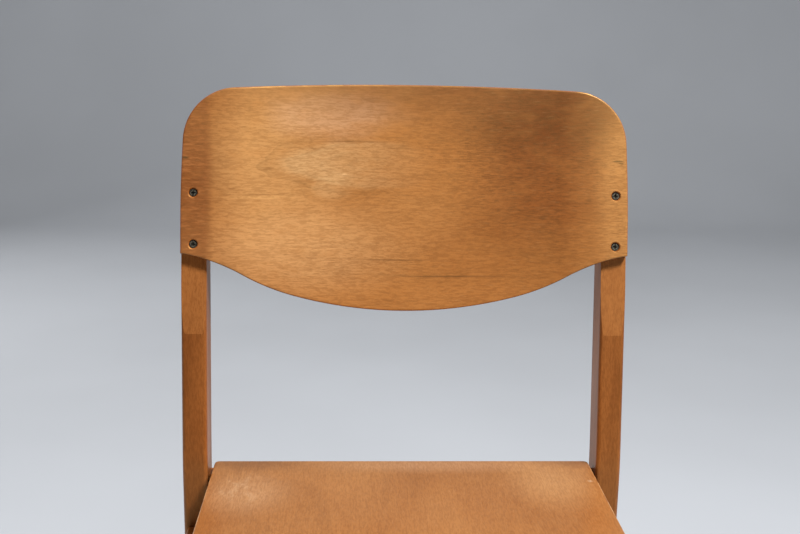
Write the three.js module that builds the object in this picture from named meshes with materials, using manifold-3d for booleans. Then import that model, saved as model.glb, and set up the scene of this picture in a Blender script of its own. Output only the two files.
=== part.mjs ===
// A wooden choir chair: a solid beech frame that carries a moulded plywood seat and backrest.
// Lengths are in millimetres, angles in radians. Z is up and the chair faces -Y.
// Left and right are as seen from the front: left is -X, right is +X.
// While the pieces are made, Y is measured from the front face of the rear legs.
import * as THREE from "three";
import { mergeVertices } from "three/addons/utils/BufferGeometryUtils.js";
import Module from "manifold-3d";

const wasm = await Module();
wasm.setup();

const degree = Math.PI / 180;
const quarterTurn = Math.PI / 2;

// The chair as a whole
const chairWidth = 460;
const fitGap = 0.3;
const cutMargin = 2;

// Legs
const legWidth = 26;
const legEdgeRadius = 4.5;
const legTopEase = 2.5;
const footDepth = 30;
const rearLegDepth = 42;
const postRake = 8 * degree;
const rearLegSplay = 9 * degree;
const rearAnkleDrop = 34;
const legBendRadius = 300;
const frontLegDepth = 40;
const frontTaperDrop = 12;
const frontTopDrop = 4;
const legClearSpan = 284;

// Seat, a moulded panel that falls to the rear and rolls over at the front
const seatHeight = 440;
const seatSlope = 2 * degree;
const seatSideGap = 6;
const seatThickness = 10;
const seatFlatOverhang = 1;
const seatRollLength = 55;
const seatRollRadius = 110;
const seatRearCorner = 5;
const seatFrontCorner = 32;
const seatArris = 1.6;
const seatRearSetback = 20;

// Backrest, screwed to a flat landing cut across the front of each upright
const landingRise = 140;
const landingTilt = 12.6 * degree;
const landingReveal = 83;
const uprightRise = 120;
const backThickness = 9;
const backArris = 1.5;
const backCrownRise = 177;
const backCrownRadius = 2100;
const backSideStart = 32;
const backSideRadius = 1560;
const backCornerRadius = 56;
const backBellyDrop = 59;
const backBellyRadius = 435;
const backBellyAngle = 15.3 * degree;
const backShoulderRadius = 230;
const backShoulderAngle = 29.5 * degree;
const backEndMargin = 4;
const backBendRadius = 175;
const backHollowRadius = 715;

// Rails and seat bearers
const crossRailThickness = 22;
const crossRailHeight = 48;
const rearRailSetback = 6;
const sideRailThickness = 18;
const sideRailHeight = 40;
const sideRailDrop = 66;
const railEdgeRadius = 2.5;
const bearerWidth = 22;
const bearerHeight = 28;
const bearerInset = 58;

// Dowels
const dowelRadius = 4;
const dowelChamfer = 1;
const crossDowelLength = 34;
const crossDowelSpacing = 24;
const sideDowelLength = 40;
const sideDowelSpacing = 20;
const bearerDowelLength = 30;

// Screws
const screwRadius = 2;
const screwHeadRadius = 4;
const screwRim = 0.4;
const screwTipLength = 3;
const recessHalfLength = 2.2;
const recessWidth = 1;
const recessDepth = 2;
const recessFootHalfLength = 0.7;
const backScrewLength = 30;
const backScrewSink = 1.5;
const backScrewRise = 9.5;
const backScrewSpacing = 52.5;
const seatScrewLength = 25;
const seatScrewCover = 3;
const seatScrewEndReach = 50;

// Glides under the feet
const glideRadius = 10;
const glideHeight = 5;
const glideLowerRound = 1.5;
const glideUpperChamfer = 0.6;
const glideSocketDepth = 3.2;
const pinRadius = 1.5;
const pinLength = 19;
const pinTipLength = 3;

// Fineness of the round shapes, in facets
const roundFacets = 16;
const glideFacets = 28;
const edgeFacets = 3;
const arrisFacets = 2;
const bendFacets = 6;
const cornerFacets = 9;
const sideFacets = 2;
const crownFacets = 11;
const rollFacets = 3;
const seatCornerFacets = 6;
const smallCornerFacets = 3;

// Sizes that follow from the ones above
const halfWidth = chairWidth / 2;
const innerHalf = halfWidth - legWidth;
const legCentre = (halfWidth + innerHalf) / 2;
const legFoot = glideHeight + fitGap;
const frontLegFace = -legClearSpan - frontLegDepth;
const frontLegCentre = (frontLegFace - legClearSpan) / 2;
const seatHalf = innerHalf - seatSideGap;
const seatFlatLength = seatRearSetback - frontLegFace + seatFlatOverhang;
const seatLength = seatFlatLength + seatRollLength;
const landingHeight = seatHeight + landingRise;
const sideRailCentre = seatHeight - sideRailDrop - sideRailHeight / 2;
const sideRailFoot = sideRailCentre - sideRailHeight / 2;
const rearAnkleHeight = sideRailFoot - rearAnkleDrop;
const frontTaperHeight = sideRailFoot - frontTaperDrop;
const bearerCentre = seatHalf - bearerInset;
const dowelBore = dowelRadius + fitGap;
const screwBore = screwRadius + fitGap;
const headBore = screwHeadRadius + fitGap;
const screwCone = screwHeadRadius - screwRadius;
const seatScrewBite = seatThickness - seatScrewCover - fitGap;
const seatScrewSink = bearerHeight + fitGap + seatScrewBite - seatScrewLength;
const pinBore = pinRadius + fitGap;
const sides = [
  { word: "left", sign: -1 },
  { word: "right", sign: 1 },
];

const X = new THREE.Vector3(1, 0, 0);
const Y = new THREE.Vector3(0, 1, 0);
const Z = new THREE.Vector3(0, 0, 1);

// Finishes
const finishes = {
  frame: { color: 0xa96c3c, roughness: 0.42, metalness: 0 },
  back: { color: 0xc08148, roughness: 0.38, metalness: 0 },
  seat: { color: 0xc78a52, roughness: 0.4, metalness: 0 },
  dowel: { color: 0xd9b488, roughness: 0.75, metalness: 0 },
  steel: { color: 0x6b6a68, roughness: 0.35, metalness: 1 },
  glide: { color: 0x2e2c2a, roughness: 0.6, metalness: 0 },
};

// Plane shapes

function point(x, y) {
  return new THREE.Vector2(x, y);
}

// Points on an arc from one angle to another, both ends included.
function arc(centre, radius, from, to, facets) {
  return Array.from({ length: facets + 1 }, (_, i) => {
    const angle = from + ((to - from) * i) / facets;
    return point(
      centre.x + radius * Math.cos(angle),
      centre.y + radius * Math.sin(angle),
    );
  });
}

// Where two lines meet, each given by a point and a direction.
function meeting(p, u, q, v) {
  const along = q.clone().sub(p).cross(v) / u.cross(v);
  return p.clone().addScaledVector(u, along);
}

// The end of a line, carried on by a distance.
function carriedOn(from, to, distance) {
  const direction = to.clone().sub(from).normalize();
  return to.clone().addScaledVector(direction, distance);
}

// The points of a polygon whose corners are rounded, each by its own radius.
function rounded(corners) {
  return corners.flatMap(({ at, radius, facets }, i) => {
    if (!radius) return [at];
    const before = corners[(i + corners.length - 1) % corners.length].at;
    const after = corners[(i + 1) % corners.length].at;
    const arriving = at.clone().sub(before).normalize();
    const leaving = after.clone().sub(at).normalize();
    const turn = Math.atan2(arriving.cross(leaving), arriving.dot(leaving));
    const reach = radius * Math.tan(Math.abs(turn) / 2);
    const start = at.clone().addScaledVector(arriving, -reach);
    const side = Math.sign(turn);
    const toCentre = point(-arriving.y, arriving.x).multiplyScalar(side);
    const centre = start.clone().addScaledVector(toCentre, radius);
    const from = Math.atan2(-toCentre.y, -toCentre.x);
    return arc(centre, radius, from, from + turn, facets);
  });
}

// A closed polygon moved inwards; it runs anticlockwise.
function inset(points, distance) {
  return points.map((p, i) => {
    const before = points[(i + points.length - 1) % points.length];
    const after = points[(i + 1) % points.length];
    const a = p.clone().sub(before).normalize();
    const b = after.clone().sub(p).normalize();
    const inward = point(-a.y - b.y, a.x + b.x);
    return p.clone().addScaledVector(inward, distance / (1 + a.dot(b)));
  });
}

// The centre of a circle that touches two larger ones from inside, left of the line between them.
function touchingCentre(first, firstRadius, second, secondRadius, radius) {
  const a = firstRadius - radius;
  const b = secondRadius - radius;
  const across = second.clone().sub(first);
  const apart = across.length();
  const along = (a * a - b * b + apart * apart) / (2 * apart);
  const off = Math.sqrt(a * a - along * along);
  across.normalize();
  return first
    .clone()
    .addScaledVector(across, along)
    .addScaledVector(point(-across.y, across.x), off);
}

// Solids

function solidOf(geometry) {
  const bare = geometry.clone();
  bare.deleteAttribute("normal");
  bare.deleteAttribute("uv");
  const joined = mergeVertices(bare);
  return new wasm.Manifold(
    new wasm.Mesh({
      numProp: 3,
      vertProperties: joined.attributes.position.array,
      triVerts: new Uint32Array(joined.index.array),
    }),
  );
}

function geometryOf(solid) {
  const mesh = solid.getMesh();
  const geometry = new THREE.BufferGeometry();
  geometry.setAttribute(
    "position",
    new THREE.BufferAttribute(new Float32Array(mesh.vertProperties), 3),
  );
  geometry.setIndex(new THREE.BufferAttribute(new Uint32Array(mesh.triVerts), 1));
  return geometry;
}

// A geometry with every tool's space taken out of it.
function cut(geometry, tools) {
  const carved = tools.reduce(
    (rest, tool) => rest.subtract(solidOf(tool)),
    solidOf(geometry),
  );
  return geometryOf(carved);
}

// Carries local X, Y and Z onto three directions at an origin.
function placing(origin, x, y, z) {
  return new THREE.Matrix4().makeBasis(x, y, z).setPosition(origin);
}

// An outline in the plane of Y and Z, given a width along X.
function sideProfile(points, centreX, width, edgeRadius) {
  const geometry = new THREE.ExtrudeGeometry(new THREE.Shape(points), {
    depth: width - 2 * edgeRadius,
    bevelEnabled: edgeRadius > 0,
    bevelSize: edgeRadius,
    bevelThickness: edgeRadius,
    bevelOffset: -edgeRadius,
    bevelSegments: edgeFacets,
  });
  const start = new THREE.Vector3(centreX - width / 2 + edgeRadius, 0, 0);
  return geometry.applyMatrix4(placing(start, Y, Z, X));
}

// An outline in the plane of X and Z, drawn out along Y.
function lengthwise(points, fromY, toY) {
  const geometry = new THREE.ExtrudeGeometry(new THREE.Shape(points), {
    depth: toY - fromY,
    bevelEnabled: false,
  });
  const start = new THREE.Vector3(0, toY, 0);
  return geometry.applyMatrix4(placing(start, X, Z, Y.clone().negate()));
}

// A turned piece: its profile is radius against distance along the axis.
function turned(profile, origin, axis, facets) {
  const across = Math.abs(axis.x) > Math.abs(axis.z) ? Z : X;
  const z = across.clone().cross(axis).normalize();
  const x = axis.clone().cross(z);
  const geometry = new THREE.LatheGeometry(profile, facets);
  return geometry.applyMatrix4(placing(origin, x, axis, z));
}

// A plain round bore that starts a little before its mouth.
function bore(mouth, axis, radius, depth) {
  const profile = [
    point(0, -cutMargin),
    point(radius, -cutMargin),
    point(radius, depth),
    point(0, depth),
  ];
  return turned(profile, mouth, axis, roundFacets);
}

// A skin over rings of points, closed at both ends by strips that join paired stations.
function ringSkin(rings) {
  const count = rings[0].length;
  const positions = rings.flatMap((ring) => ring.flatMap((p) => p.toArray()));
  const faces = [];
  for (let ring = 0; ring < rings.length - 1; ring++) {
    for (let i = 0; i < count; i++) {
      const a = ring * count + i;
      const b = ring * count + ((i + 1) % count);
      faces.push(a, b, b + count, a, b + count, a + count);
    }
  }
  const top = (rings.length - 1) * count;
  for (let i = 0; i < count / 2 - 1; i++) {
    const j = count - 1 - i;
    faces.push(top + i, top + i + 1, top + j - 1, top + i, top + j - 1, top + j);
    faces.push(i, j - 1, i + 1, i, j, j - 1);
  }
  const geometry = new THREE.BufferGeometry();
  geometry.setAttribute(
    "position",
    new THREE.Float32BufferAttribute(positions, 3),
  );
  geometry.setIndex(faces);
  return geometry;
}

// A moulded panel: an outline of two paired chains, with eased arrises, laid on a curved surface.
function mouldedPanel(chain, pairedChain, thickness, arris, place) {
  const outline = [...chain, ...pairedChain.slice().reverse()];
  const lower = arc(point(arris, arris), arris, -quarterTurn, -2 * quarterTurn, arrisFacets);
  const levels = [
    ...lower,
    ...lower.map((p) => point(p.x, thickness - p.y)).reverse(),
  ];
  return ringSkin(
    levels.map((level) =>
      inset(outline, level.x).map((p) => place(p, level.y)),
    ),
  );
}

// Fastenings

// A cross-headed countersunk screw; the axis points into the wood from the head's face.
function screw(head, axis, length) {
  const profile = [
    point(0, 0),
    point(screwHeadRadius, 0),
    point(screwHeadRadius, screwRim),
    point(screwRadius, screwRim + screwCone),
    point(screwRadius, length - screwTipLength),
    point(0, length),
  ];
  const slot = new THREE.Shape([
    point(-recessHalfLength, -cutMargin),
    point(-recessFootHalfLength, recessDepth),
    point(recessFootHalfLength, recessDepth),
    point(recessHalfLength, -cutMargin),
  ]);
  const across = X;
  const beside = axis.clone().cross(across);
  const slots = [
    [across, across.clone().cross(axis)],
    [beside, beside.clone().cross(axis)],
  ].map(([long, short]) => {
    const start = head.clone().addScaledVector(short, -recessWidth / 2);
    return new THREE.ExtrudeGeometry(slot, {
      depth: recessWidth,
      bevelEnabled: false,
    }).applyMatrix4(placing(start, long, axis, short));
  });
  return cut(turned(profile, head, axis, roundFacets), slots);
}

// The hole for a countersunk screw, from a face down past the end of its shank.
function screwHole(face, axis, sink, depth) {
  const profile = [
    point(0, -cutMargin),
    point(headBore, -cutMargin),
    point(headBore, sink + screwRim),
    point(screwBore, sink + screwRim + screwCone),
    point(screwBore, depth),
    point(0, depth),
  ];
  return turned(profile, face, axis, roundFacets);
}

function dowel(centre, axis, length) {
  const half = length / 2;
  const profile = [
    point(0, -half),
    point(dowelRadius - dowelChamfer, -half),
    point(dowelRadius, -half + dowelChamfer),
    point(dowelRadius, half - dowelChamfer),
    point(dowelRadius - dowelChamfer, half),
    point(0, half),
  ];
  return turned(profile, centre, axis, roundFacets);
}

// The space for a dowel on both sides of its joint.
function dowelHole({ centre, axis, length }) {
  const half = length / 2 + fitGap;
  const profile = [
    point(0, -half),
    point(dowelBore, -half),
    point(dowelBore, half),
    point(0, half),
  ];
  return turned(profile, centre, axis, roundFacets);
}

// Seat and rails along the chair: each cross rail's front face, and the ends of the bearers
const crossRails = {
  rear: rearRailSetback,
  front: frontLegCentre - crossRailThickness / 2,
};
const bearerEnds = {
  rear: crossRails.rear - fitGap,
  front: crossRails.front + crossRailThickness + fitGap,
};

// Seat

const seatForward = new THREE.Vector3(0, -Math.cos(seatSlope), Math.sin(seatSlope));
const seatUp = new THREE.Vector3(0, Math.sin(seatSlope), Math.cos(seatSlope));
const seatRearEdge = new THREE.Vector3(0, seatRearSetback, seatHeight);

// A point of the seat: across, then minus the length from the rear edge, and its level.
function seatPlace(p, level) {
  const length = -p.y;
  const below = seatThickness - level;
  const spot = seatRearEdge.clone().addScaledVector(X, p.x);
  if (length <= seatFlatLength) {
    return spot.addScaledVector(seatForward, length).addScaledVector(seatUp, -below);
  }
  const turn = (length - seatFlatLength) / seatRollRadius;
  return spot
    .addScaledVector(seatForward, seatFlatLength)
    .addScaledVector(seatUp, -seatRollRadius)
    .addScaledVector(seatForward, (seatRollRadius - below) * Math.sin(turn))
    .addScaledVector(seatUp, (seatRollRadius - below) * Math.cos(turn));
}

// The height of the flat part of the seat's underside at a distance Y.
function seatUnderside(y) {
  const top = seatHeight + (seatRearSetback - y) * Math.tan(seatSlope);
  return top - seatThickness / Math.cos(seatSlope);
}

function seatPanel() {
  const half = seatHalf;
  const straightRoll = seatRollLength - seatFrontCorner;
  const roll = Array.from({ length: rollFacets }, (_, i) =>
    point(half, -seatFlatLength - (straightRoll * (rollFacets - 1 - i)) / rollFacets),
  );
  const frontCorner = arc(
    point(half - seatFrontCorner, seatFrontCorner - seatLength),
    seatFrontCorner,
    -quarterTurn,
    0,
    seatCornerFacets,
  );
  const rearCorner = arc(
    point(half - seatRearCorner, -seatRearCorner),
    seatRearCorner,
    0,
    quarterTurn,
    smallCornerFacets,
  );
  const chain = [...frontCorner, ...roll, ...rearCorner];
  const paired = chain.map((p) => point(-p.x, p.y));
  const panel = mouldedPanel(chain, paired, seatThickness, seatArris, seatPlace);
  const pilots = seatScrewSpots().map(({ mouth }) =>
    bore(mouth, seatUp, screwBore, seatScrewBite + fitGap),
  );
  return cut(panel, pilots);
}

// Where each seat screw meets the underside of the seat.
function seatScrewSpots() {
  const lengths = {
    rear: seatRearSetback - bearerEnds.rear + seatScrewEndReach,
    front: seatRearSetback - bearerEnds.front - seatScrewEndReach,
  };
  return sides.flatMap(({ word, sign }) =>
    Object.entries(lengths).map(([end, length]) => ({
      name: word + "_" + end,
      sign,
      mouth: seatPlace(point(sign * bearerCentre, -length), 0),
    })),
  );
}

// Backrest

const landingUp = new THREE.Vector3(0, Math.sin(landingTilt), Math.cos(landingTilt));
const landingOut = new THREE.Vector3(0, -Math.cos(landingTilt), Math.sin(landingTilt));
const landingFoot = new THREE.Vector3(
  0,
  (landingHeight - seatHeight) * Math.tan(postRake),
  landingHeight,
);
const backOrigin = landingFoot
  .clone()
  .addScaledVector(landingUp, landingReveal)
  .addScaledVector(landingOut, fitGap);

// Where the panel leaves its flat end zones, and the centre line of its hollow.
const backFlatHalf = innerHalf - backEndMargin;
const backHollowCentre =
  Math.sqrt((backHollowRadius + backBendRadius) ** 2 - backFlatHalf ** 2) - backBendRadius;
const backBendShare = backFlatHalf / (backHollowRadius + backBendRadius);

// How far the surface at a depth behind the front face stands out from the end zones' face.
function backHollow(x, depth) {
  const across = Math.abs(x);
  if (across >= backFlatHalf) return -depth;
  if (across >= (backHollowRadius + depth) * backBendShare) {
    const radius = backBendRadius - depth;
    return Math.sqrt(radius ** 2 - (across - backFlatHalf) ** 2) - backBendRadius;
  }
  return backHollowCentre - Math.sqrt((backHollowRadius + depth) ** 2 - across ** 2);
}

// A point of the backrest: across, then up its slope, and its level above the landing.
function backPlace(p, level) {
  const out = backThickness + backHollow(p.x, backThickness - level);
  return backOrigin
    .clone()
    .addScaledVector(X, p.x)
    .addScaledVector(landingUp, p.y)
    .addScaledVector(landingOut, out);
}

// The right half of the panel's side, corner and crown, from the side to the middle.
function backUpperHalf() {
  const crownCentre = point(0, backCrownRise - backCrownRadius);
  const sideCentre = point(halfWidth - backSideRadius, backSideStart);
  const corner = touchingCentre(
    sideCentre,
    backSideRadius,
    crownCentre,
    backCrownRadius,
    backCornerRadius,
  );
  const sideEnd = corner.clone().sub(sideCentre).angle();
  const crownStart = corner.clone().sub(crownCentre).angle();
  return [
    ...arc(sideCentre, backSideRadius, 0, sideEnd, sideFacets),
    ...arc(corner, backCornerRadius, sideEnd, crownStart, cornerFacets).slice(1),
    ...arc(crownCentre, backCrownRadius, crownStart, quarterTurn, crownFacets).slice(1),
  ];
}

// The height of the panel's lower edge: a deep belly, a shoulder and a hip that meets the end.
function backLowerEdge(x) {
  const across = Math.abs(x);
  const bellyCentre = point(0, backBellyRadius - backBellyDrop);
  const shoulderCentre = bellyCentre
    .clone()
    .add(
      point(Math.sin(backBellyAngle), -Math.cos(backBellyAngle)).multiplyScalar(
        backBellyRadius - backShoulderRadius,
      ),
    );
  const shoulderTurn = point(Math.sin(backShoulderAngle), -Math.cos(backShoulderAngle));
  const shoulderEnd = shoulderCentre
    .clone()
    .addScaledVector(shoulderTurn, backShoulderRadius);
  const hipChord = point(halfWidth, 0).sub(shoulderEnd);
  const hipTurn = 2 * (backShoulderAngle - hipChord.angle());
  const hipRadius = hipChord.length() / (2 * Math.sin(hipTurn / 2));
  const hipCentre = shoulderEnd.clone().addScaledVector(shoulderTurn, hipRadius);
  if (across >= shoulderEnd.x) {
    const rise = Math.sqrt(hipRadius ** 2 - (across - hipCentre.x) ** 2);
    return hipCentre.y + Math.sign(hipRadius) * rise;
  }
  if (across >= backBellyRadius * Math.sin(backBellyAngle)) {
    const off = across - shoulderCentre.x;
    return shoulderCentre.y - Math.sqrt(backShoulderRadius ** 2 - off ** 2);
  }
  return bellyCentre.y - Math.sqrt(backBellyRadius ** 2 - across ** 2);
}

// Where each backrest screw stands, across and up the slope.
function backScrewSpots() {
  return sides.flatMap(({ word, sign }) =>
    ["lower", "upper"].map((end, i) => ({
      name: word + "_" + end,
      sign,
      spot: point(sign * legCentre, backScrewRise + backScrewSpacing * i),
    })),
  );
}

function backPanel() {
  const right = backUpperHalf();
  const left = right
    .slice(0, -1)
    .reverse()
    .map((p) => point(-p.x, p.y));
  const upper = [...right, ...left].reverse();
  const lower = upper.map((p) => point(p.x, backLowerEdge(p.x)));
  const panel = mouldedPanel(lower, upper, backThickness, backArris, backPlace);
  const holes = backScrewSpots().map(({ spot }) =>
    screwHole(
      backPlace(spot, backThickness),
      landingOut.clone().negate(),
      backScrewSink,
      backThickness + cutMargin,
    ),
  );
  return cut(panel, holes);
}

// Legs

// A vertical bore for the pin of a glide.
function pinHole(x, y) {
  const mouth = new THREE.Vector3(x, y, legFoot);
  const depth = glideHeight - glideSocketDepth + pinLength + 2 * fitGap - legFoot;
  return bore(mouth, Z, pinBore, depth);
}

// Everything below the level of a foot.
function belowFoot(x) {
  const reach = chairWidth;
  const block = new THREE.BoxGeometry(reach, 2 * reach, reach);
  return block.translate(x, 0, legFoot - reach / 2);
}

// The front face of a rear leg at its foot.
function rearFootFace() {
  return (rearAnkleHeight - legFoot) * Math.tan(rearLegSplay);
}

function rearLegProfile() {
  const bend = { radius: legBendRadius, facets: bendFacets };
  const frontAnkle = point(0, rearAnkleHeight);
  const rearAnkle = point(rearLegDepth, rearAnkleHeight);
  const frontFoot = point(rearFootFace(), legFoot);
  const rearFoot = point(rearFootFace() + footDepth, legFoot);
  const frontKnee = point(0, seatHeight);
  const rearKnee = point(rearLegDepth, seatHeight);
  const rake = point(Math.sin(postRake), Math.cos(postRake));
  // The top is cut square to the landing.
  const top = landingFoot
    .clone()
    .addScaledVector(landingUp, landingReveal + uprightRise);
  const topSpot = point(top.y, top.z);
  const topLine = point(landingOut.y, landingOut.z);
  return rounded([
    { at: carriedOn(frontAnkle, frontFoot, cutMargin) },
    { at: carriedOn(rearAnkle, rearFoot, cutMargin) },
    { at: rearAnkle, ...bend },
    { at: rearKnee, ...bend },
    {
      at: meeting(rearKnee, rake, topSpot, topLine),
      radius: legEdgeRadius + legTopEase,
      facets: edgeFacets,
    },
    { at: meeting(frontKnee, rake, topSpot, topLine) },
    { at: frontKnee, ...bend },
    { at: frontAnkle, ...bend },
  ]);
}

// Everything in front of the landing's plane, from its lower line to past the upright's top.
function landingCut(x) {
  const length = landingReveal + uprightRise;
  const depth = rearLegDepth;
  const block = new THREE.BoxGeometry(legWidth + 2 * cutMargin, length + 2 * cutMargin, depth);
  const centre = landingFoot
    .clone()
    .addScaledVector(X, x)
    .addScaledVector(landingUp, length / 2)
    .addScaledVector(landingOut, depth / 2);
  return block.applyMatrix4(placing(centre, X, landingUp, landingOut));
}

// The wood outside the backrest's side curve, so that the upright ends flush with the panel.
function sideTrim(sign) {
  const top = uprightRise + 2 * legEdgeRadius;
  const line = backUpperHalf().filter((p) => p.y < top);
  const last = line[line.length - 1];
  const outline = [
    ...line,
    point(halfWidth + cutMargin, last.y),
    point(halfWidth + cutMargin, backSideStart),
  ].map((p) => point(sign * p.x, p.y));
  const depth = 2 * rearLegDepth;
  const start = backOrigin.clone().addScaledVector(landingOut, -depth);
  const block = new THREE.ExtrudeGeometry(new THREE.Shape(outline), {
    depth: depth + cutMargin,
    bevelEnabled: false,
  });
  return block.applyMatrix4(placing(start, X, landingUp, landingOut));
}

function rearLeg(sign) {
  const x = sign * legCentre;
  const blank = sideProfile(rearLegProfile(), x, legWidth, legEdgeRadius);
  const foot = rearFootFace() + footDepth / 2;
  const pilots = backScrewSpots()
    .filter((screwSpot) => screwSpot.sign === sign)
    .map(({ spot }) =>
      bore(
        backPlace(spot, 0),
        landingOut.clone().negate(),
        screwBore,
        backScrewLength - backThickness + backScrewSink + fitGap,
      ),
    );
  return cut(blank, [
    landingCut(x),
    sideTrim(sign),
    belowFoot(x),
    pinHole(x, foot),
    ...pilots,
    ...jointsOf(sign, "rear").map(dowelHole),
  ]);
}

// The top of a front leg stands a little under the seat beside it.
function frontLegTop() {
  return seatUnderside(frontLegCentre) + seatThickness - frontTopDrop;
}

function frontLeg(sign) {
  const x = sign * legCentre;
  const top = frontLegTop();
  const end = { radius: legEdgeRadius + legTopEase, facets: edgeFacets };
  const rearKnee = point(-legClearSpan, frontTaperHeight);
  const rearFoot = point(frontLegFace + footDepth, legFoot);
  const profile = rounded([
    { at: point(frontLegFace, legFoot - cutMargin) },
    { at: carriedOn(rearKnee, rearFoot, cutMargin) },
    { at: rearKnee, radius: legBendRadius, facets: bendFacets },
    { at: point(-legClearSpan, top), ...end },
    { at: point(frontLegFace, top), ...end },
  ]);
  return cut(sideProfile(profile, x, legWidth, legEdgeRadius), [
    belowFoot(x),
    pinHole(x, frontLegFace + footDepth / 2),
    ...jointsOf(sign, "front").map(dowelHole),
  ]);
}

// Rails and bearers

// A rail across the chair under the seat; its top follows the seat's slope.
function crossRail(end) {
  const near = crossRails[end];
  const far = near + crossRailThickness;
  const foot = seatUnderside(near) - fitGap - crossRailHeight;
  const round = { radius: railEdgeRadius, facets: edgeFacets };
  const section = rounded([
    { at: point(near, foot), ...round },
    { at: point(far, foot), ...round },
    { at: point(far, seatUnderside(far) - fitGap), ...round },
    { at: point(near, seatUnderside(near) - fitGap), ...round },
  ]);
  const rail = sideProfile(section, 0, 2 * (innerHalf - fitGap), 0);
  const name = end + "_rail";
  const joints = allJoints.filter((joint) => [joint.rail, joint.crossRail].includes(name));
  return cut(rail, joints.map(dowelHole));
}

// A rounded rectangle in the plane of X and Z.
function barSection(centreX, width, foot, height) {
  const round = { radius: railEdgeRadius, facets: edgeFacets };
  return rounded([
    { at: point(centreX - width / 2, foot), ...round },
    { at: point(centreX + width / 2, foot), ...round },
    { at: point(centreX + width / 2, foot + height), ...round },
    { at: point(centreX - width / 2, foot + height), ...round },
  ]);
}

function sideRail(sign, word) {
  const section = barSection(
    sign * legCentre,
    sideRailThickness,
    sideRailFoot,
    sideRailHeight,
  );
  const rail = lengthwise(section, fitGap - legClearSpan, -fitGap);
  const joints = allJoints.filter((joint) => joint.rail === "side_rail_" + word);
  return cut(rail, joints.map(dowelHole));
}

// A bearer runs from rail to rail under the seat and slopes with it.
function seatBearer(sign, word) {
  const drop = fitGap + bearerHeight;
  const section = barSection(sign * bearerCentre, bearerWidth, -drop, bearerHeight);
  const slope = -Math.tan(seatSlope);
  const follow = new THREE.Matrix4().set(
    1, 0, 0, 0,
    0, 1, 0, 0,
    0, slope, 1, seatUnderside(0),
    0, 0, 0, 1,
  );
  const bearer = lengthwise(section, bearerEnds.front, bearerEnds.rear).applyMatrix4(follow);
  const screws = seatScrewSpots()
    .filter((screwSpot) => screwSpot.sign === sign)
    .map(({ mouth }) =>
      screwHole(
        mouth.clone().addScaledVector(seatUp, -drop),
        seatUp,
        seatScrewSink,
        drop + cutMargin,
      ),
    );
  const joints = allJoints.filter((joint) => joint.rail === "seat_bearer_" + word);
  return cut(bearer, [
    ...screws,
    ...joints.map(dowelHole),
  ]);
}

// Dowelled joints

// Every dowel: the rail or bearer it holds, the end it is at, and where it lies.
function listJoints() {
  const joints = [];
  for (const { word, sign } of sides) {
    for (const end of ["rear", "front"]) {
      const railY = crossRails[end] + crossRailThickness / 2;
      const railZ = seatUnderside(railY) - fitGap - crossRailHeight / 2;
      const sideY = end === "rear" ? 0 : -legClearSpan;
      for (const [level, shift] of [["lower", -1], ["upper", 1]]) {
        joints.push({
          name: "dowel_" + end + "_rail_" + word + "_" + level,
          rail: end + "_rail",
          end,
          sign,
          axis: X,
          length: crossDowelLength,
          centre: new THREE.Vector3(
            sign * innerHalf,
            railY,
            railZ + (shift * crossDowelSpacing) / 2,
          ),
        });
        joints.push({
          name: "dowel_side_rail_" + word + "_" + end + "_" + level,
          rail: "side_rail_" + word,
          end,
          sign,
          axis: Y,
          length: sideDowelLength,
          centre: new THREE.Vector3(
            sign * legCentre,
            sideY,
            sideRailCentre + (shift * sideDowelSpacing) / 2,
          ),
        });
      }
      const bearerY = end === "rear" ? crossRails.rear : crossRails.front + crossRailThickness;
      joints.push({
        name: "dowel_seat_bearer_" + word + "_" + end,
        rail: "seat_bearer_" + word,
        crossRail: end + "_rail",
        end,
        sign,
        axis: Y,
        length: bearerDowelLength,
        centre: new THREE.Vector3(
          sign * bearerCentre,
          bearerY,
          seatUnderside(bearerY) - fitGap - bearerHeight / 2,
        ),
      });
    }
  }
  return joints;
}

const allJoints = listJoints();

// The dowels that enter one leg.
function jointsOf(sign, end) {
  return allJoints.filter(
    (joint) => joint.sign === sign && joint.end === end && !joint.crossRail,
  );
}

// Glides

function glide(x, y) {
  const profile = [
    point(0, 0),
    ...arc(
      point(glideRadius - glideLowerRound, glideLowerRound),
      glideLowerRound,
      -quarterTurn,
      0,
      edgeFacets,
    ),
    point(glideRadius, glideHeight - glideUpperChamfer),
    point(glideRadius - glideUpperChamfer, glideHeight),
    point(pinBore, glideHeight),
    point(pinBore, glideHeight - glideSocketDepth),
    point(0, glideHeight - glideSocketDepth),
  ];
  return turned(profile, new THREE.Vector3(x, y, 0), Z, glideFacets);
}

function glidePin(x, y) {
  const profile = [
    point(0, 0),
    point(pinRadius, 0),
    point(pinRadius, pinLength - pinTipLength),
    point(0, pinLength),
  ];
  const foot = new THREE.Vector3(x, y, glideHeight - glideSocketDepth + fitGap);
  return turned(profile, foot, Z, roundFacets);
}

// The whole chair

const chair = new THREE.Group();
chair.name = "choir_chair";

function add(name, geometry, finish) {
  const material = new THREE.MeshStandardMaterial(finishes[finish]);
  const mesh = new THREE.Mesh(geometry, material);
  mesh.name = name;
  chair.add(mesh);
}

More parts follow.
